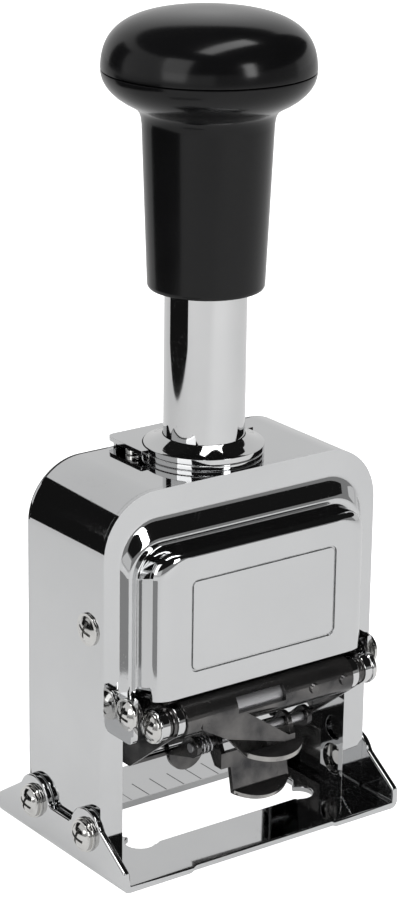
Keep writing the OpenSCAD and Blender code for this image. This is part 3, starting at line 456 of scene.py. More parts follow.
def grime_and_painted_shade_in_corners() -> bpy.types.NodeTree:
    """Dirt and dried ink in corners, with painted shade from ambient occlusion, as a mask."""
    tree, n, given, out = group_tree(
        Effect.GRIME_AND_SHADE, [("Reach", 0.0012), ("Amount", 1.0)], [("Mask", "NodeSocketFloat")])
    near = n.add("ShaderNodeAmbientOcclusion", samples=6, only_local=True)
    n.join(given["Reach"], near.inputs["Distance"])
    place = n.add("ShaderNodeTexCoord")
    patches = n.add("ShaderNodeTexNoise", Scale=420.0, Detail=3.0)
    n.join(place.outputs["Object"], patches.inputs["Vector"])
    # Painted shade: occluded corners and recesses darken, and noise breaks this up like dirt.
    hidden = n.spread(near.outputs["AO"], low=0.35, high=0.85, to_low=1.0, to_high=0.0)
    broken = n.spread(patches.outputs["Fac"], low=0.3, high=0.65, to_low=0.35)
    n.join(n.math("MULTIPLY", n.math("MULTIPLY", hidden, broken), given["Amount"]), out["Mask"])
    return tree


def pressed_sheet_ripple() -> bpy.types.NodeTree:
    """The slow waves and fine orange peel of a surface, as a height."""
    tree, n, given, out = group_tree(
        Effect.RIPPLE, [("Wave Scale", 18.0), ("Peel Scale", 900.0), ("Peel", 0.06)],
        [("Height", "NodeSocketFloat")])
    place = n.add("ShaderNodeTexCoord")
    wave = n.add("ShaderNodeTexNoise", Detail=0.0)
    peel = n.add("ShaderNodeTexNoise", Detail=2.0)
    for noise, name in ((wave, "Wave Scale"), (peel, "Peel Scale")):
        n.join(place.outputs["Object"], noise.inputs["Vector"])
        n.join(given[name], noise.inputs["Scale"])
    n.join(n.math("ADD", wave.outputs["Fac"], n.math("MULTIPLY", peel.outputs["Fac"],
                                                     given["Peel"])), out["Height"])
    return tree


@dataclass(frozen=True)
class Finish:
    """One finish of the machine.

    The colour runs between two tones by the haze mask; grime with painted shade in corners, and
    scratches, come on top.
    """

    name: str
    slot: str
    tone: tuple[float, float, float]
    second_tone: tuple[float, float, float]
    metallic: float = 1.0
    roughness: float = 0.08
    roughness_spread: float = 0.03
    scratch_roughness: float = 0.12
    # The colour of dirt in corners, which also serves as painted shade there.
    grime_and_shade_tone: tuple[float, float, float] = (0.03, 0.028, 0.026)
    grime_and_shade: float = 0.6
    grime_roughness: float = 0.4
    grime_shine: float = 0.3
    haze_scale: float = 60.0
    wave: float = 18.0
    peel: float = 0.05
    relief_mm: float = 0.004
    extra: dict = field(default_factory=dict)

    def material(self) -> bpy.types.Material:
        """Builds the node material, once for each finish.

        Returns:
            The material, shared by all pieces with this finish.
        """
        found = bpy.data.materials.get(self.name)
        if found:
            return found
        made = bpy.data.materials.new(self.name)
        n = blank_nodes(made)
        haze = self.group(n, Effect.PLATING, Scale=self.haze_scale)
        scratches = self.group(n, Effect.SCRATCHES)
        grime_and_shade = self.group(n, Effect.GRIME_AND_SHADE, Amount=self.grime_and_shade)
        ripple = self.group(n, Effect.RIPPLE, **{"Wave Scale": self.wave, "Peel": self.peel})
        body = self.mix(n, haze.outputs["Mask"], self.tone, self.second_tone)
        # Darkens the colour in corners and recesses: partly dirt, partly painted shade from
        # ambient occlusion.
        dirty_and_shaded = self.mix(n, grime_and_shade.outputs["Mask"], body, self.grime_and_shade_tone)
        shader = n.add("ShaderNodeBsdfPrincipled")
        n.join(dirty_and_shaded, shader.inputs["Base Color"])
        level = n.spread(haze.outputs["Mask"], to_low=self.roughness,
                         to_high=self.roughness + self.roughness_spread)
        scratched = n.math("MULTIPLY", scratches.outputs["Mask"], self.scratch_roughness)
        worn = n.math("MULTIPLY", grime_and_shade.outputs["Mask"], self.grime_roughness)
        n.join(n.math("ADD", n.math("ADD", level, scratched), worn), shader.inputs["Roughness"])
        shine = n.spread(grime_and_shade.outputs["Mask"], low=0.2, to_low=1.0, to_high=self.grime_shine)
        n.join(n.math("MULTIPLY", shine, self.metallic), shader.inputs["Metallic"])
        bump = n.add("ShaderNodeBump", Strength=1.0, Distance=self.relief_mm * MM)
        n.join(ripple.outputs["Height"], bump.inputs["Height"])
        n.join(bump.outputs["Normal"], shader.inputs["Normal"])
        for name, value in self.extra.items():
            shader.inputs[name].default_value = value
        leave = n.add("ShaderNodeOutputMaterial")
        n.join(shader.outputs["BSDF"], leave.inputs["Surface"])
        return made

    @staticmethod
    def group(n: Nodes, effect: Effect, **values: float) -> bpy.types.Node:
        """Places a shared group with this finish's own values."""
        tree = bpy.data.node_groups.get(effect.value) or GROUP_MAKERS[effect]()
        node = n.add("ShaderNodeGroup", node_tree=tree)
        for name, value in values.items():
            node.inputs[name].default_value = value
        return node

    @staticmethod
    def mix(n: Nodes, mask: bpy.types.NodeSocket, first: object,
            second: object) -> bpy.types.NodeSocket:
        """Mixes two colours or colour sockets by a mask."""
        node = n.add("ShaderNodeMix", data_type="RGBA")
        n.join(mask, node.inputs["Factor"])
        for index, value in zip(MIX_COLOURS, (first, second)):
            if isinstance(value, bpy.types.NodeSocket):
                n.join(value, node.inputs[index])
            else:
                node.inputs[index].default_value = (*value, 1.0)
        return node.outputs[MIX_RESULT]

    def dress(self, piece: bpy.types.Object) -> None:
        """Gives a piece this finish as its only material."""
        piece.data.materials.clear()
        piece.data.materials.append(self.material())


GROUP_MAKERS: dict[Effect, Callable[[], bpy.types.NodeTree]] = {
    Effect.PLATING: plating_haze,
    Effect.SCRATCHES: fine_scratches,
    Effect.GRIME_AND_SHADE: grime_and_painted_shade_in_corners,
    Effect.RIPPLE: pressed_sheet_ripple,
}

CHROME_SHEET = Finish("bright_chrome_sheet", "chrome_sheet", (0.585, 0.59, 0.595),
                      (0.56, 0.565, 0.57), roughness=0.035, roughness_spread=0.02,
                      relief_mm=0.006, grime_and_shade=0.35)
CHROME_TURNED = Finish("bright_chrome_turned", "chrome_turned", (0.62, 0.62, 0.62),
                       (0.58, 0.585, 0.59), roughness=0.03, roughness_spread=0.02,
                       relief_mm=0.003, grime_and_shade=0.3)
NICKEL = Finish("nickel_screws", "nickel_screw", (0.64, 0.635, 0.62), (0.56, 0.555, 0.54),
                roughness=0.07, roughness_spread=0.08, grime_and_shade=0.9, haze_scale=300.0,
                relief_mm=0.01)
DARK_STEEL = Finish("oiled_dark_steel", "dark_steel", (0.155, 0.15, 0.147),
                    (0.05, 0.05, 0.052), metallic=0.9, roughness=0.12,
                    roughness_spread=0.16, grime_and_shade=0.6, haze_scale=190.0, wave=55.0,
                    relief_mm=0.09, peel=0.06)
PLAIN_STEEL = Finish("plain_steel", "plain_steel", (0.42, 0.415, 0.41), (0.30, 0.30, 0.30),
                     roughness=0.2, roughness_spread=0.12, grime_and_shade=0.7, haze_scale=180.0,
                     relief_mm=0.015, peel=0.2)
SPRING_STEEL = Finish("spring_wire", "spring_steel", (0.48, 0.48, 0.49), (0.33, 0.33, 0.34),
                      roughness=0.18, roughness_spread=0.1, grime_and_shade=0.5, haze_scale=400.0)
KNOB_PLASTIC = Finish("black_knob_plastic", "knob_plastic", (0.0045, 0.0045, 0.0048),
                      (0.0065, 0.0065, 0.007), metallic=0.0, roughness=0.15,
                      roughness_spread=0.04, scratch_roughness=0.06, grime_and_shade=0.0,
                      haze_scale=45.0, wave=30.0, peel=0.10, relief_mm=0.01,
                      extra={"Specular IOR Level": 0.24})
WORN_EDGE = Finish("worn_steel_edge", "dark_steel", (0.46, 0.45, 0.43), (0.27, 0.265, 0.26),
                   roughness=0.18, roughness_spread=0.12, grime_and_shade=0.4, haze_scale=260.0,
                   relief_mm=0.012, peel=0.2)
WHEEL_METAL = Finish("number_wheel_metal", "wheel_metal", (0.50, 0.47, 0.40),
                     (0.36, 0.34, 0.30), roughness=0.22, roughness_spread=0.12,
                     grime_and_shade_tone=(0.02, 0.016, 0.03), grime_and_shade=1.0, haze_scale=260.0,
                     relief_mm=0.02, peel=0.2)
INKED_DIGIT = Finish("inked_digits", "wheel_metal", (0.05, 0.045, 0.07), (0.10, 0.09, 0.11),
                     metallic=0.6, roughness=0.3, roughness_spread=0.2, haze_scale=500.0)
INK_FELT = Finish("inked_felt", "ink_felt", (0.020, 0.016, 0.034), (0.036, 0.030, 0.058),
                  metallic=0.0, roughness=0.85, roughness_spread=0.1, scratch_roughness=0.0,
                  grime_and_shade=0.2, haze_scale=700.0, wave=300.0, peel=0.9, relief_mm=0.12,
                  extra={"Sheen Weight": 0.35, "Sheen Roughness": 0.6})


# ---------------------------------------------------------------- studio

class Card:
    """What the studio's cards share: an even sheet that only reflections see."""

    name: str
    tone: float

    def rows(self) -> list[list[Point3]]:
        """The card's points, row by row from its lower edge."""
        raise NotImplementedError

    def build(self) -> None:
        """Makes the card as a stage object."""
        work = bmesh.new()
        loft(work, self.rows(), closed=False)
        card = from_bmesh(self.name, work)
        made = bpy.data.materials.new(self.name + "_paint")
        n = blank_nodes(made)
        glow = n.add("ShaderNodeEmission", Strength=1.0)
        glow.inputs["Color"].default_value = (self.tone, self.tone, self.tone, 1.0)
        leave = n.add("ShaderNodeOutputMaterial")
        n.join(glow.outputs[0], leave.inputs["Surface"])
        card.data.materials.append(made)
        card.visible_camera = False
        card.visible_diffuse = False
        card.visible_shadow = False


@dataclass
class SkyCard(Card):
    """A card bent round the machine: turn and height are angles seen from eye height."""

    name: str
    turn: tuple[float, float]
    height: tuple[float, float]
    distance: float
    tone: float
    eye_height: float = 60.0
    strips: int = 10
    strip_angle: float = 4.0
    fewest: int = 6

    def rows(self) -> list[list[Point3]]:
        """The card's points on a part of a sphere."""
        steps = max(self.fewest, int(abs(self.turn[1] - self.turn[0]) / self.strip_angle))
        rings = []
        for j in range(self.strips + 1):
            share = (self.height[1] - self.height[0]) * j / self.strips
            lift = math.radians(self.height[0] + share)
            ring = []
            for i in range(steps + 1):
                a = math.radians(self.turn[0] + (self.turn[1] - self.turn[0]) * i / steps)
                ring.append((self.distance * math.cos(lift) * math.cos(a),
                             self.distance * math.cos(lift) * math.sin(a),
                             self.distance * math.sin(lift) + self.eye_height))
            rings.append(ring)
        return rings


@dataclass
class StandingCard(Card):
    """A flat card that stands upright and faces the machine."""

    name: str
    facing: float
    distance: float
    half_w: float
    foot: float
    head: float
    tone: float

    def rows(self) -> list[list[Point3]]:
        """The card's lower and upper edge."""
        facing = math.radians(self.facing)
        out = Vector((math.cos(facing), math.sin(facing), 0)) * self.distance
        side = Vector((-math.sin(facing), math.cos(facing), 0)) * self.half_w
        return [[tuple(out - side + Vector((0, 0, z))), tuple(out + side + Vector((0, 0, z)))]
                for z in (self.foot, self.head)]


@dataclass
class Lamp:
    """A soft rectangular lamp that points at the middle of the machine."""

    name: str
    place: Point3
    size: Point
    power: float
    aim_height: float = 90.0

    def build(self) -> None:
        """Makes the lamp."""
        lamp = bpy.data.lights.new(self.name, "AREA")
        lamp.shape = "RECTANGLE"
        lamp.size, lamp.size_y = self.size[0] * MM, self.size[1] * MM
        lamp.energy = self.power
        holder = bpy.data.objects.new(self.name, lamp)
        bpy.context.scene.collection.objects.link(holder)
        holder.location = Vector(self.place) * MM
        aim = Vector((0, 0, self.aim_height * MM)) - holder.location
        holder.rotation_euler = aim.to_track_quat("-Z", "Y").to_euler()


@dataclass
class Studio:
    """Pale floor, white surroundings, dark cards above and soft lamps.

    The floor's own light falls off to the left, between the two x of fall_m, which are metres.
    """

    surround_light: float = 0.42
    surround_mirrored: float = 0.97
    floor_r: float = 2500.0
    floor_drop: float = 0.02
    floor_segments: int = 64
    floor_tone: float = 0.80
    floor_glow: float = 1.1
    floor_mirrored: float = 0.35
    fall_m: Point = (-0.16, -0.06)
    fall_tone: float = 0.74
    paper_grain: float = 900.0
    paper_mottle: float = 0.99
    cards: tuple[Card, ...] = (
        SkyCard("ceiling_front", (-175, 22), (14, 89), 1500, 0.012),
        SkyCard("ceiling_back", (22, 185), (42, 89), 1500, 0.012),
        SkyCard("grey_wall_front", (-120, -20), (-6, 14), 1480, 0.30),
        SkyCard("grey_card_front_left", (-174, -136), (-24, -11.5), 140, 0.34),
        SkyCard("dark_card_back_left", (103, 131), (1, 33), 900, 0.010),
        StandingCard("dark_card_left", 152, 292.0, 190.0, 2.0, 116.0, 0.010),
    )
    lamps: tuple[Lamp, ...] = (
        Lamp("lamp_above", (60, -150, 900), (700, 190), 2.4),
        Lamp("lamp_left_front", (-700, -220, 420), (380, 620), 1.7),
        Lamp("lamp_right_front", (120, -780, 400), (170, 360), 1.5),
    )

    def build(self) -> None:
        """Makes the world, floor, cards and lamps."""
        self.world()
        self.floor()
        for part in (*self.cards, *self.lamps):
            part.build()
        LOG.info("studio ready")

    @staticmethod
    def by_ray(n: Nodes, other: float, camera: float, mirror: float) -> bpy.types.NodeSocket:
        """A strength that differs with the ray that sees it.

        Args:
            n: the material's helper. other, camera, mirror: strengths for diffuse rays, for the
                camera, and for reflected or refracted rays.

        Returns:
            The strength's socket.
        """
        path = n.add("ShaderNodeLightPath")
        mirrored = n.math("MAXIMUM", path.outputs["Is Glossy Ray"],
                          path.outputs["Is Transmission Ray"])
        for_camera = n.math("MULTIPLY", path.outputs["Is Camera Ray"], camera - other)
        for_mirror = n.math("MULTIPLY", mirrored, mirror - other)
        return n.math("ADD", n.math("ADD", for_camera, for_mirror), other)

    def world(self) -> None:
        """White for the camera and for reflections, softer for the light it gives."""
        world = bpy.data.worlds.new("white_studio")
        bpy.context.scene.world = world
        n = blank_nodes(world)
        sky = n.add("ShaderNodeBackground")
        n.join(self.by_ray(n, self.surround_light, 1.0, self.surround_mirrored),
               sky.inputs["Strength"])
        leave = n.add("ShaderNodeOutputWorld")
        n.join(sky.outputs[0], leave.inputs["Surface"])

    def floor(self) -> None:
        """A large pale sheet whose own light shows only to the camera and in reflections."""
        work = bmesh.new()
        lathe(work, [(0.0, -self.floor_drop), (self.floor_r, -self.floor_drop)],
              self.floor_segments)
        floor = from_bmesh("paper_floor", work)
        made = bpy.data.materials.new("pale_paper")
        n = blank_nodes(made)
        grain = Finish.group(n, Effect.PLATING, Scale=self.paper_grain)
        tone = Finish.mix(n, grain.outputs["Mask"], (self.floor_tone,) * 3,
                          (self.floor_tone * self.paper_mottle,) * 3)
        paper = n.add("ShaderNodeBsdfDiffuse")
        n.join(tone, paper.inputs["Color"])
        place = n.add("ShaderNodeTexCoord")
        split = n.add("ShaderNodeSeparateXYZ")
        n.join(place.outputs["Object"], split.inputs[0])
        left_fall = n.spread(split.outputs["X"], *self.fall_m, to_low=self.fall_tone)
        glow = n.add("ShaderNodeEmission")
        n.join(n.math("MULTIPLY", left_fall,
                      self.by_ray(n, 0.0, self.floor_glow, self.floor_mirrored)),
               glow.inputs["Strength"])
        both = n.add("ShaderNodeAddShader")
        n.join(paper.outputs[0], both.inputs[0])
        n.join(glow.outputs[0], both.inputs[1])
        leave = n.add("ShaderNodeOutputMaterial")
        n.join(both.outputs[0], leave.inputs["Surface"])
        floor.data.materials.append(made)


@dataclass
class PhotoCamera:
    """The camera at the photograph's place, fitted to the machine's edges.

    focal_px is in pixels of image_px, and clip_m is in metres.
    """

    place: Point3 = (-329.2846, -446.2278, 268.9260)
    ahead: Point3 = (0.56130357, 0.76282122, -0.3210017)
    up: Point3 = (0.17926623, 0.26659313, 0.94699088)
    focal_px: float = 2871.4008
    image_px: tuple[int, int] = (400, 898)
    sensor_mm: float = 36.0
    clip_m: Point = (0.01, 20.0)

    def build(self) -> None:
        """Makes the camera and sets it as the scene's."""
        data = bpy.data.cameras.new("photo_camera")
        data.sensor_fit = "AUTO"
        data.sensor_width = self.sensor_mm
        data.lens = self.focal_px * self.sensor_mm / max(self.image_px)
        data.clip_start, data.clip_end = self.clip_m
        holder = bpy.data.objects.new("photo_camera", data)
        bpy.context.scene.collection.objects.link(holder)
        ahead, up = Vector(self.ahead).normalized(), Vector(self.up)
        right = ahead.cross(up).normalized()
        up = right.cross(ahead)
        turn = Matrix((right, up, -ahead)).transposed().to_4x4()
        holder.matrix_world = Matrix.Translation(Vector(self.place) * MM) @ turn
        bpy.context.scene.camera = holder


# ---------------------------------------------------------------- pieces

def attach(piece: bpy.types.Object, body: str, finish: Finish, *nodes: str) -> bpy.types.Object:
    """Dresses a piece, lets it ride on a body and stand for frame nodes.

    Args:
        piece: the finished mesh. body: the body it moves with. finish: its material.
        nodes: the frame nodes that it stands for.

    Returns:
        The same piece.
    """
    finish.dress(piece)
    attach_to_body(piece, body)
    if nodes:
        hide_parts(*nodes)
    LOG.info("%s rides on %s", piece.name, body)
    return piece


@dataclass(frozen=True)
class Rounded:
    """A frame node that keeps its form and gets rounded edges."""

    node: str
    body: str
    finish: Finish
    radius: float = 0.15

    def build(self) -> None:
        """Makes the rounded piece and attaches it."""
        piece = softened(self.node + "_piece", self.node, self.radius)
        attach(piece, self.body, self.finish, self.node)


@dataclass
class Hardware:
    """Screws, washers, brackets and the plain inner pieces."""

    pieces: tuple[Rounded, ...] = (
        Rounded("base_screws", "frame", NICKEL, 0.12),
        Rounded("base_washers", "frame", NICKEL, 0.12),
        Rounded("base_nuts", "frame", NICKEL, 0.15),
        Rounded("side_screws", "frame", NICKEL, 0.12),
        Rounded("tab_screws", "frame", NICKEL, 0.12),
        Rounded("pivot_bracket", "frame", DARK_STEEL, 0.15),
        Rounded("pivot_shaft", "frame", NICKEL, 0.1),
        Rounded("pivot_screws", "frame", NICKEL, 0.12),
        Rounded("pivot_spacers", "frame", CHROME_TURNED, 0.15),
        Rounded("cross_bar", "frame", PLAIN_STEEL, 0.2),
        Rounded("spring_post", "frame", PLAIN_STEEL, 0.4),
        Rounded("slide_pins", "lock", NICKEL, 0.15),
        Rounded("lock_slide", "lock", CHROME_SHEET, 0.3),
        Rounded("tube_plug", "plunger", PLAIN_STEEL, 0.3),
        Rounded("carriage", "plunger", PLAIN_STEEL, 0.25),
        Rounded("wheel_shaft", "plunger", PLAIN_STEEL, 0.25),
        Rounded("detent_comb", "plunger", SPRING_STEEL, 0.1),
        Rounded("feed_arm", "feed_swing", DARK_STEEL, 0.15),
        Rounded("feed_pawls", "feed_swing", PLAIN_STEEL, 0.1),
        Rounded("pad_cradle", "pad_holder", DARK_STEEL, 0.15),
        Rounded("pad_tray", "pad_holder", CHROME_SHEET, 0.25),
        Rounded("pad_tube", "pad_holder", PLAIN_STEEL, 0.1),
        Rounded("pad_rings", "pad_holder", CHROME_TURNED, 0.15),
        Rounded("pad_rivets", "pad_holder", DARK_STEEL, 0.12),
        Rounded("lever_pin", "pad_holder", PLAIN_STEEL, 0.15),
        Rounded("collar_bush", "frame", CHROME_TURNED, 0.12),
        Rounded("plunger_tube", "plunger", CHROME_TURNED, 0.2),
        Rounded("outer_frame", "frame", CHROME_SHEET, 0.5),
        Rounded("rear_cover", "frame", CHROME_SHEET, 0.5),
    )

    def build(self) -> None:
        """Makes all of them."""
        for piece in self.pieces:
            piece.build()


@dataclass
class Knob:
    """The knob: a square shouldered cap on a grip with a bulged underside.

    The cap's side is a superellipse about curve_z. Its lower edge turns in by lip_in and lip_soft
    within lip_rise, and the curve starts wall_rise above the seam. The underside's points are
    (radius, drop below the grip's top).
    """

    cap_r: float = 21.35
    seam_z: float = 159.4
    curve_z: float = 157.6
    top_z: float = 170.99
    squareness: float = 3.0
    curve_steps: int = 40
    lip_in: float = 0.3
    lip_soft: float = 0.06
    lip_rise: float = 0.12
    wall_rise: float = 0.3
    gap: float = 0.1
    grip_top_r: float = 20.6
    underside: tuple[Point, ...] = (
        (21.05, 0.0), (21.25, 0.12), (21.27, 0.5), (21.15, 1.2), (20.85, 2.1), (20.3, 3.1),
        (19.5, 4.1), (18.4, 5.1), (17.0, 6.05), (15.5, 6.85), (14.35, 7.6), (13.7, 8.4),
        (13.35, 9.4), (13.15, 10.8))
    foot: tuple[Point, ...] = ((11.87, 116.3), (11.8, 115.8), (11.6, 115.5), (11.2, 115.4))
    bore_r: float = 8.4
    bore_top_z: float = 119.5
    segments: int = 160

    def cap(self) -> list[Point]:
        """Half section of the cap in (r, z)."""
        high = self.top_z - self.curve_z
        power = 2 / self.squareness
        points = [(0.0, self.seam_z), (self.cap_r - self.lip_in, self.seam_z),
                  (self.cap_r - self.lip_soft, self.seam_z + self.lip_rise)]
        first = (self.seam_z + self.wall_rise - self.curve_z) / high
        start = math.degrees(math.asin(first ** (self.squareness / 2)))
        for k in range(self.curve_steps):
            a = math.radians(start + (90 - start) * k / self.curve_steps)
            points.append((self.cap_r * math.cos(a) ** power,
                           self.curve_z + high * math.sin(a) ** power))
        return [*points, (0.0, self.top_z)]

    def grip(self) -> list[Point]:
        """Half section of the grip in (r, z)."""
        top = self.seam_z - self.gap
        points = [(0.0, top), (self.grip_top_r, top)]
        points += [(r, top - drop) for r, drop in self.underside]
        return [*points, *self.foot, (self.bore_r, self.foot[-1][1]),
                (self.bore_r, self.bore_top_z), (0.0, self.bore_top_z)]

    def build(self) -> None:
        """Makes both pieces."""
        for name, node, profile in (("knob_cap_piece", "knob_cap", self.cap()),
                                    ("knob_grip_piece", "knob_grip", self.grip())):
            work = bmesh.new()
            lathe(work, profile, self.segments)
            attach(from_bmesh(name, work, SOFT_CREASE), "plunger", KNOB_PLASTIC, node)


@dataclass
class CollarDisc:
    """The collar's upper ring, whose top rises to the tube in a hollow curve.

    The ring's outer edges turn in by edge, through a point that is soft_in and soft_rise away.
    """

    bore_r: float = 8.51
    ring_t: float = 1.16
    edge: float = 0.12
    soft_in: float = 0.03
    soft_rise: float = 0.04
    hollow: float = 1.35
    curve_steps: int = 8
    segments: int = 128

    def build(self) -> None:
        """Makes the ring."""
        low, high = cad_range("collar_disc")
        outer, base, top = high.x, low.z, low.z + self.ring_t
        inner, soft = outer - self.edge, outer - self.soft_in
        rise = high.z - low.z - self.ring_t
        profile = [(self.bore_r, base), (inner, base), (soft, base + self.soft_rise),
                   (outer, base + self.edge), (outer, top - self.edge),
                   (soft, top - self.soft_rise), (inner, top)]
        for k in range(1, self.curve_steps + 1):
            share = k / self.curve_steps
            profile.append((inner - (inner - self.bore_r) * share,
                            top + rise * share ** self.hollow))
        work = bmesh.new()
        lathe(work, profile, self.segments, closed=True)
        attach(from_bmesh("collar_disc_piece", work, SOFT_CREASE), "frame", CHROME_TURNED,
               "collar_disc")


@dataclass
class BasePlate:
    """The pressed base, whose cut edges are well rounded away from the engraved lines."""

    radius: float = 0.42
    segments: int = 3
    lines_half_w: float = 14.0
    lines_y: Point = (8.2, 16.2)
    hole_chord: float = 0.13

    def rounded_here(self, middle: Vector, length: float) -> bool:
        """Whether an edge is rounded: engraved lines and screw holes stay crisp."""
        lines = (abs(middle.x) < self.lines_half_w
                 and self.lines_y[0] < middle.y < self.lines_y[1])
        return not lines and length >= self.hole_chord

    def build(self) -> None:
        """Makes the base."""
        piece = softened("base_plate_piece", "base_plate", self.radius, CUT_SHARP,
                         self.segments, self.rounded_here, clamp=False)
        attach(piece, "frame", CHROME_SHEET, "base_plate")


@dataclass(frozen=True)
class FingerTongue:
    """A sheet with a finger lip, whose cut edge in front of lip_from is worn bright."""

    node: str
    body: str
    lip_from: float
    radius: float = 0.15
    steepest: float = 0.8
    most_backward: float = 0.2

    def build(self) -> None:
        """Makes the piece and gives the lip's cut edge the second material."""
        piece = softened(self.node + "_piece", self.node, self.radius)
        attach(piece, self.body, DARK_STEEL, self.node)
        piece.data.materials.append(WORN_EDGE.material())
        for face in piece.data.polygons:
            normal = face.normal
            upright = abs(normal.z) < self.steepest and normal.y < self.most_backward
            if upright and face.center.y / MM < self.lip_from:
                face.material_index = 1


@dataclass
class FrontCover:
    """The pressed front sheet: rim, step, ledge and a round shouldered panel with a label place.

    Each row of the pressing is (side_in, top_in, height, corner radius), measured from the
    outside of the frame and from the rim's face. The round shoulder starts at such a row,
    shoulder_from, and runs on by shoulder, which is (side_in, top_in, height). label is (half
    width, lower z, upper z, corner radius), and its groove has (inwards, depth) points.
    """

    half: float = 34.0
    top: float = 80.4
    bottom: float = 38.5
    tab_bottom: float = 28.8
    tab_in: float = 25.8
    rim_y: float = -13.8
    sheet: float = 1.0
    edge_r: float = 0.22
    rows: tuple[tuple[float, float, float, float], ...] = (
        (0.0, 0.0, 0.0, 12.5), (3.0, 4.8, 0.0, 9.7), (3.45, 5.6, 0.04, 9.2),
        (3.75, 6.3, 0.22, 8.9), (4.0, 7.0, 0.55, 8.5), (4.6, 8.9, 1.42, 7.9),
        (4.8, 9.4, 1.68, 7.7), (5.15, 9.9, 1.83, 7.5), (5.5, 10.3, 1.86, 7.3),
        (6.2, 10.8, 1.86, 6.6), (6.5, 11.05, 1.92, 6.3), (6.68, 11.2, 2.2, 6.1),
        (6.75, 11.22, 2.6, 6.0), (7.4, 11.25, 4.9, 5.3))
    shoulder_from: tuple[float, float, float, float] = (7.45, 11.27, 5.1, 5.05)
    shoulder: tuple[float, float, float] = (4.5, 1.2, 2.6)
    shoulder_steps: int = 8
    label: tuple[float, float, float, float] = (18.2, 43.3, 63.1, 1.5)
    groove: tuple[Point, ...] = ((0, 0), (0.05, 0.42), (0.42, 0.46), (0.55, 0.14))

    def line(self, side_in: float, top_in: float, height: float, r: float) -> list[Point3]:
        """One row of the pressing as an arch."""
        return arch_line(self.half - side_in, self.bottom, self.top - top_in, r,
                         self.rim_y - height)

    def all_rows(self) -> list[list[Point3]]:
        """All rows, with the round shoulder after the panel's wall."""
        side, top, rise = self.shoulder
        side_in, top_in, height, r = self.shoulder_from
        rows = [self.line(*row) for row in self.rows]
        for k in range(self.shoulder_steps + 1):
            a = math.radians(90 * k / self.shoulder_steps)
            fall = 1 - math.cos(a)
            rows.append(self.line(side_in + side * fall, top_in + top * fall,
                                  height + rise * math.sin(a), r - top * fall))
        return rows

    def label_line(self, inset: float, depth: float) -> list[Point3]:
        """The label place's outline, moved inwards and set into the panel."""
        half, low, high, r = self.label
        half, low, high, r = half - inset, low + inset, high - inset, r - inset
        corners = [(-half, low, r), (half, low, r), (half, high, r), (-half, high, r)]
        y = self.rim_y - self.shoulder_from[2] - self.shoulder[2] + depth
        return [(x, y, z) for x, z in rounded(corners)]

    def skin(self, work: bmesh.types.BMesh) -> None:
        """The outer face of the whole sheet, facing forward."""
        made = loft(work, self.all_rows(), closed=False)
        for end, s in ((0, -1), (-1, 1)):
            rim, first = made[0][end], made[1][end]
            low = [work.verts.new((s * x, self.rim_y, z)) for x, z in (
                (self.tab_in, self.bottom), (self.tab_in, self.tab_bottom),
                (self.half, self.tab_bottom))]
            work.faces.new((rim, first, *low))
        label = loft(work, [self.label_line(*point) for point in self.groove], closed=True)
        panel, hole, place = made[-1], label[0], label[-1]
        joined = [*panel, *hole]
        for a, b, c in tessellate_polygon([[v.co.xzy for v in panel], [v.co.xzy for v in hole]]):
            work.faces.new((joined[a], joined[b], joined[c]))
        work.faces.new(place)
        bmesh.ops.recalc_face_normals(work, faces=work.faces)
        middle = next(face for face in work.faces if len(face.verts) == len(place))
        if middle.normal.y > 0:
            bmesh.ops.reverse_faces(work, faces=work.faces)

    def build(self) -> None:
        """Makes the cover."""
        work = bmesh.new()
        self.skin(work)
        bmesh.ops.solidify(work, geom=list(work.faces), thickness=self.sheet)
        round_edges(work, self.edge_r, CUT_SHARP)
        cover = from_bmesh("front_cover_sheet", work, SOFT_CREASE)
        attach(cover, "frame", CHROME_SHEET, "front_cover")


@dataclass
class CoverEars:
    """The front cover's two ears that the tab screws go through.

    ear_x, ear_y and ear_z are an ear's two ends each way, with ear_y in front of the rim. hole is
    (y in front of the rim, z, radius).
    """

    rim_y: float = FrontCover.rim_y
    ear_x: Point = (29.3, 30.3)
    ear_y: Point = (-0.4, 5.2)
    ear_z: Point = (29.4, 39.4)
    corner_r: float = 2.0
    hole: tuple[float, float, float] = (3.3, 35.9, 1.7)
    hole_chords: int = 24
    edge_r: float = 0.2

    def build(self) -> None:
        """Makes both ears as one piece."""
        back, front = (self.rim_y - y for y in self.ear_y)
        low_z, high_z = self.ear_z
        outline = rounded([(back, low_z, 0), (front, low_z, self.corner_r), (front, high_z, 0),
                           (back, high_z, 0)])
        y, z, r = self.hole
        hole = arc(self.rim_y - y, z, r, 0, 360 - 360 / self.hole_chords, self.hole_chords - 1)
        work = bmesh.new()
        for s in (-1, 1):
            low, high = sorted(s * x for x in self.ear_x)
            plate_across_x(work, outline, hole, low, high)
        round_edges(work, self.edge_r, CUT_SHARP)
        attach(from_bmesh("front_cover_ears", work), "frame", CHROME_SHEET)


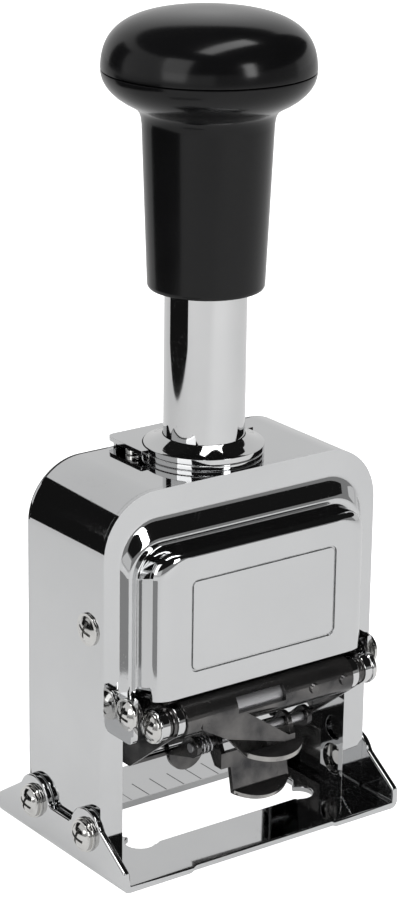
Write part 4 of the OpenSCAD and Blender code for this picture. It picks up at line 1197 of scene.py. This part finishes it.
@dataclass
class Wheels:
    """Six number wheels with raised mirrored digits on their ten faces."""

    count: int = 6
    faces: int = 10
    digit_size: float = 5.0
    raised: float = 0.32
    sunk: float = 0.04
    face_w: float = 3.3
    corner_r: float = 8.0
    edge_r: float = 0.12

    def digit(self, k: int) -> bpy.types.Mesh:
        """One raised digit as a mesh in millimetres, centred on the origin."""
        text = bpy.data.curves.new("digit", "FONT")
        text.body = str(k)
        text.size = self.digit_size
        text.extrude = self.raised / 2
        text.resolution_u = 3
        text.align_x, text.align_y = "CENTER", "CENTER"
        holder = make_object("digit_line", text)
        mesh = bpy.data.meshes.new_from_object(holder.evaluated_get(
            bpy.context.evaluated_depsgraph_get()))
        bpy.data.objects.remove(holder)
        bpy.data.curves.remove(text)
        return mesh

    def digits_round(self, axle: Vector, digits: Sequence[bpy.types.Mesh]) -> bmesh.types.BMesh:
        """All digits of one wheel, each centred on its face and a little sunk into it.

        Args:
            axle: where the wheel's axis meets the middle of its printing face. digits: the
                meshes, one for each face.

        Returns:
            The digits in one bmesh.
        """
        flat_r = self.corner_r * math.cos(math.pi / self.faces)
        lift = Vector((0, 0, -flat_r - self.raised / 2 + self.sunk))
        work = bmesh.new()
        for k, mesh in enumerate(digits):
            start = len(work.verts)
            work.from_mesh(mesh)
            work.verts.ensure_lookup_table()
            own = work.verts[start:]
            xs, ys = [v.co.x for v in own], [v.co.y for v in own]
            middle = Vector(((min(xs) + max(xs)) / 2, (min(ys) + max(ys)) / 2, 0))
            turn = Matrix.Rotation(2 * math.pi * k / self.faces, 4, "X")
            for v in own:
                v.co = turn @ (v.co - middle + lift) + axle
        return work

    def build(self) -> None:
        """Makes the wheels and their digits."""
        digits = [self.digit(k) for k in range(self.faces)]
        for i in range(1, self.count + 1):
            node, body = f"wheel_{i}", f"wheel_{i}_body"
            attach(softened(f"{node}_drum", node, self.edge_r), body, WHEEL_METAL, node)
            low, high = cad_range(node)
            axle = Vector((low.x + self.face_w / 2, (low.y + high.y) / 2,
                           (low.z + high.z) / 2))
            piece = from_bmesh(f"{node}_digits", self.digits_round(axle, digits))
            attach(piece, body, INKED_DIGIT)


@dataclass
class Springs:
    """The two wound springs, in round wire. The main one rides on the frame at its wound length.
    """

    main_wire: float = 1.3
    main_turns: int = 14
    lever_wire: float = 0.5
    lever_turns: int = 3
    chords: int = 24

    @property
    def stroke(self) -> float:
        """How far the plunger goes down, as the frame's joint has it."""
        joint = next(j for j in frame["joints"] if j["name"] == "plunger_slide")
        return max(abs(end) for end in joint["range_m"]) / MM

    def helix(self, low: Vector, high: Vector, axis: int, wire_d: float,
              turns: int) -> list[Point3]:
        """Points of a coil that fills a box.

        Args:
            low, high: the box. axis: the coil's axis, 0 to 2. wire_d: the wire's thickness.
            turns: number of turns.

        Returns:
            The middle line of the wire.
        """
        centre = (low + high) / 2
        start, end = low[axis] + wire_d / 2, high[axis] - wire_d / 2
        side, other = (k for k in (0, 1, 2) if k != axis)
        r = (high[side] - low[side]) / 2 - wire_d / 2
        points = []
        for i in range(turns * self.chords + 1):
            a = 2 * math.pi * i / self.chords
            point = [0.0, 0.0, 0.0]
            point[axis] = start + (end - start) * i / (turns * self.chords)
            point[side] = centre[side] + r * math.cos(a)
            point[other] = centre[other] + r * math.sin(a)
            points.append(tuple(point))
        return points

    def build(self) -> None:
        """Makes both springs."""
        low, high = cad_range("main_spring")
        main = wire("main_spring_wire", self.helix(low, high, 2, self.main_wire, self.main_turns),
                    self.main_wire / 2)
        attach(main, "frame", SPRING_STEEL, "main_spring")
        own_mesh(main)
        low, high = cad_range("lever_spring")
        lever = wire("lever_spring_wire", self.helix(low, high, 0, self.lever_wire,
                                                     self.lever_turns), self.lever_wire / 2)
        attach(lever, "pad_holder", SPRING_STEEL, "lever_spring")


@dataclass
class FeltPad:
    """The ink pad in its tray. Its crown is given by (share of its half width, drop) points."""

    fill: float = 0.8
    corner_r: float = 0.8
    crown: tuple[Point, ...] = ((1.0, 1.0), (0.995, 0.75), (0.975, 0.52), (0.93, 0.35),
                                (0.7, 0.12), (0.35, 0.02), (0.05, 0.0))

    def build(self) -> None:
        """Makes the pad: its edges lie a little lower than its middle."""
        low, high = cad_range("ink_pad")
        centre, half = (low + high) / 2, (high - low) / 2
        rings = []
        for share, z in ((1.0, low.z), *((share, high.z - drop) for share, drop in self.crown)):
            x_end, y_end = half.x - half.y * (1 - share), half.y - half.y * (1 - share)
            corners = [(sx * x_end, sy * y_end, self.corner_r * share)
                       for sx, sy in ((-1, -1), (1, -1), (1, 1), (-1, 1))]
            rings.append([(centre.x + x, centre.y + y, z) for x, y in rounded(corners)])
        work = bmesh.new()
        made = loft(work, rings, closed=True)
        work.faces.new(made[0])
        work.faces.new(made[-1])
        pad = from_bmesh("felt_pad", work, PAD_CREASE)
        attach(pad, "pad_holder", INK_FELT, "ink_pad")


def write_size() -> None:
    """Brings the scene's evaluated state up to date."""
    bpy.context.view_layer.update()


def main() -> None:
    """Builds the machine, the studio and the camera in order."""
    logging.basicConfig(level=logging.INFO, format="%(message)s")
    bpy.context.scene.view_settings.view_transform = "Standard"
    Hardware().build()
    BasePlate().build()
    FrontCover().build()
    CoverEars().build()
    CollarDisc().build()
    Knob().build()
    FingerTongue("pad_sleeve", "pad_holder", lip_from=-25.9).build()
    FingerTongue("release_lever", "release", lip_from=-21.7).build()
    Wheels().build()
    Springs().build()
    FeltPad().build()
    Studio().build()
    PhotoCamera().build()
    write_size()


if __name__ == "__main__":
    main()
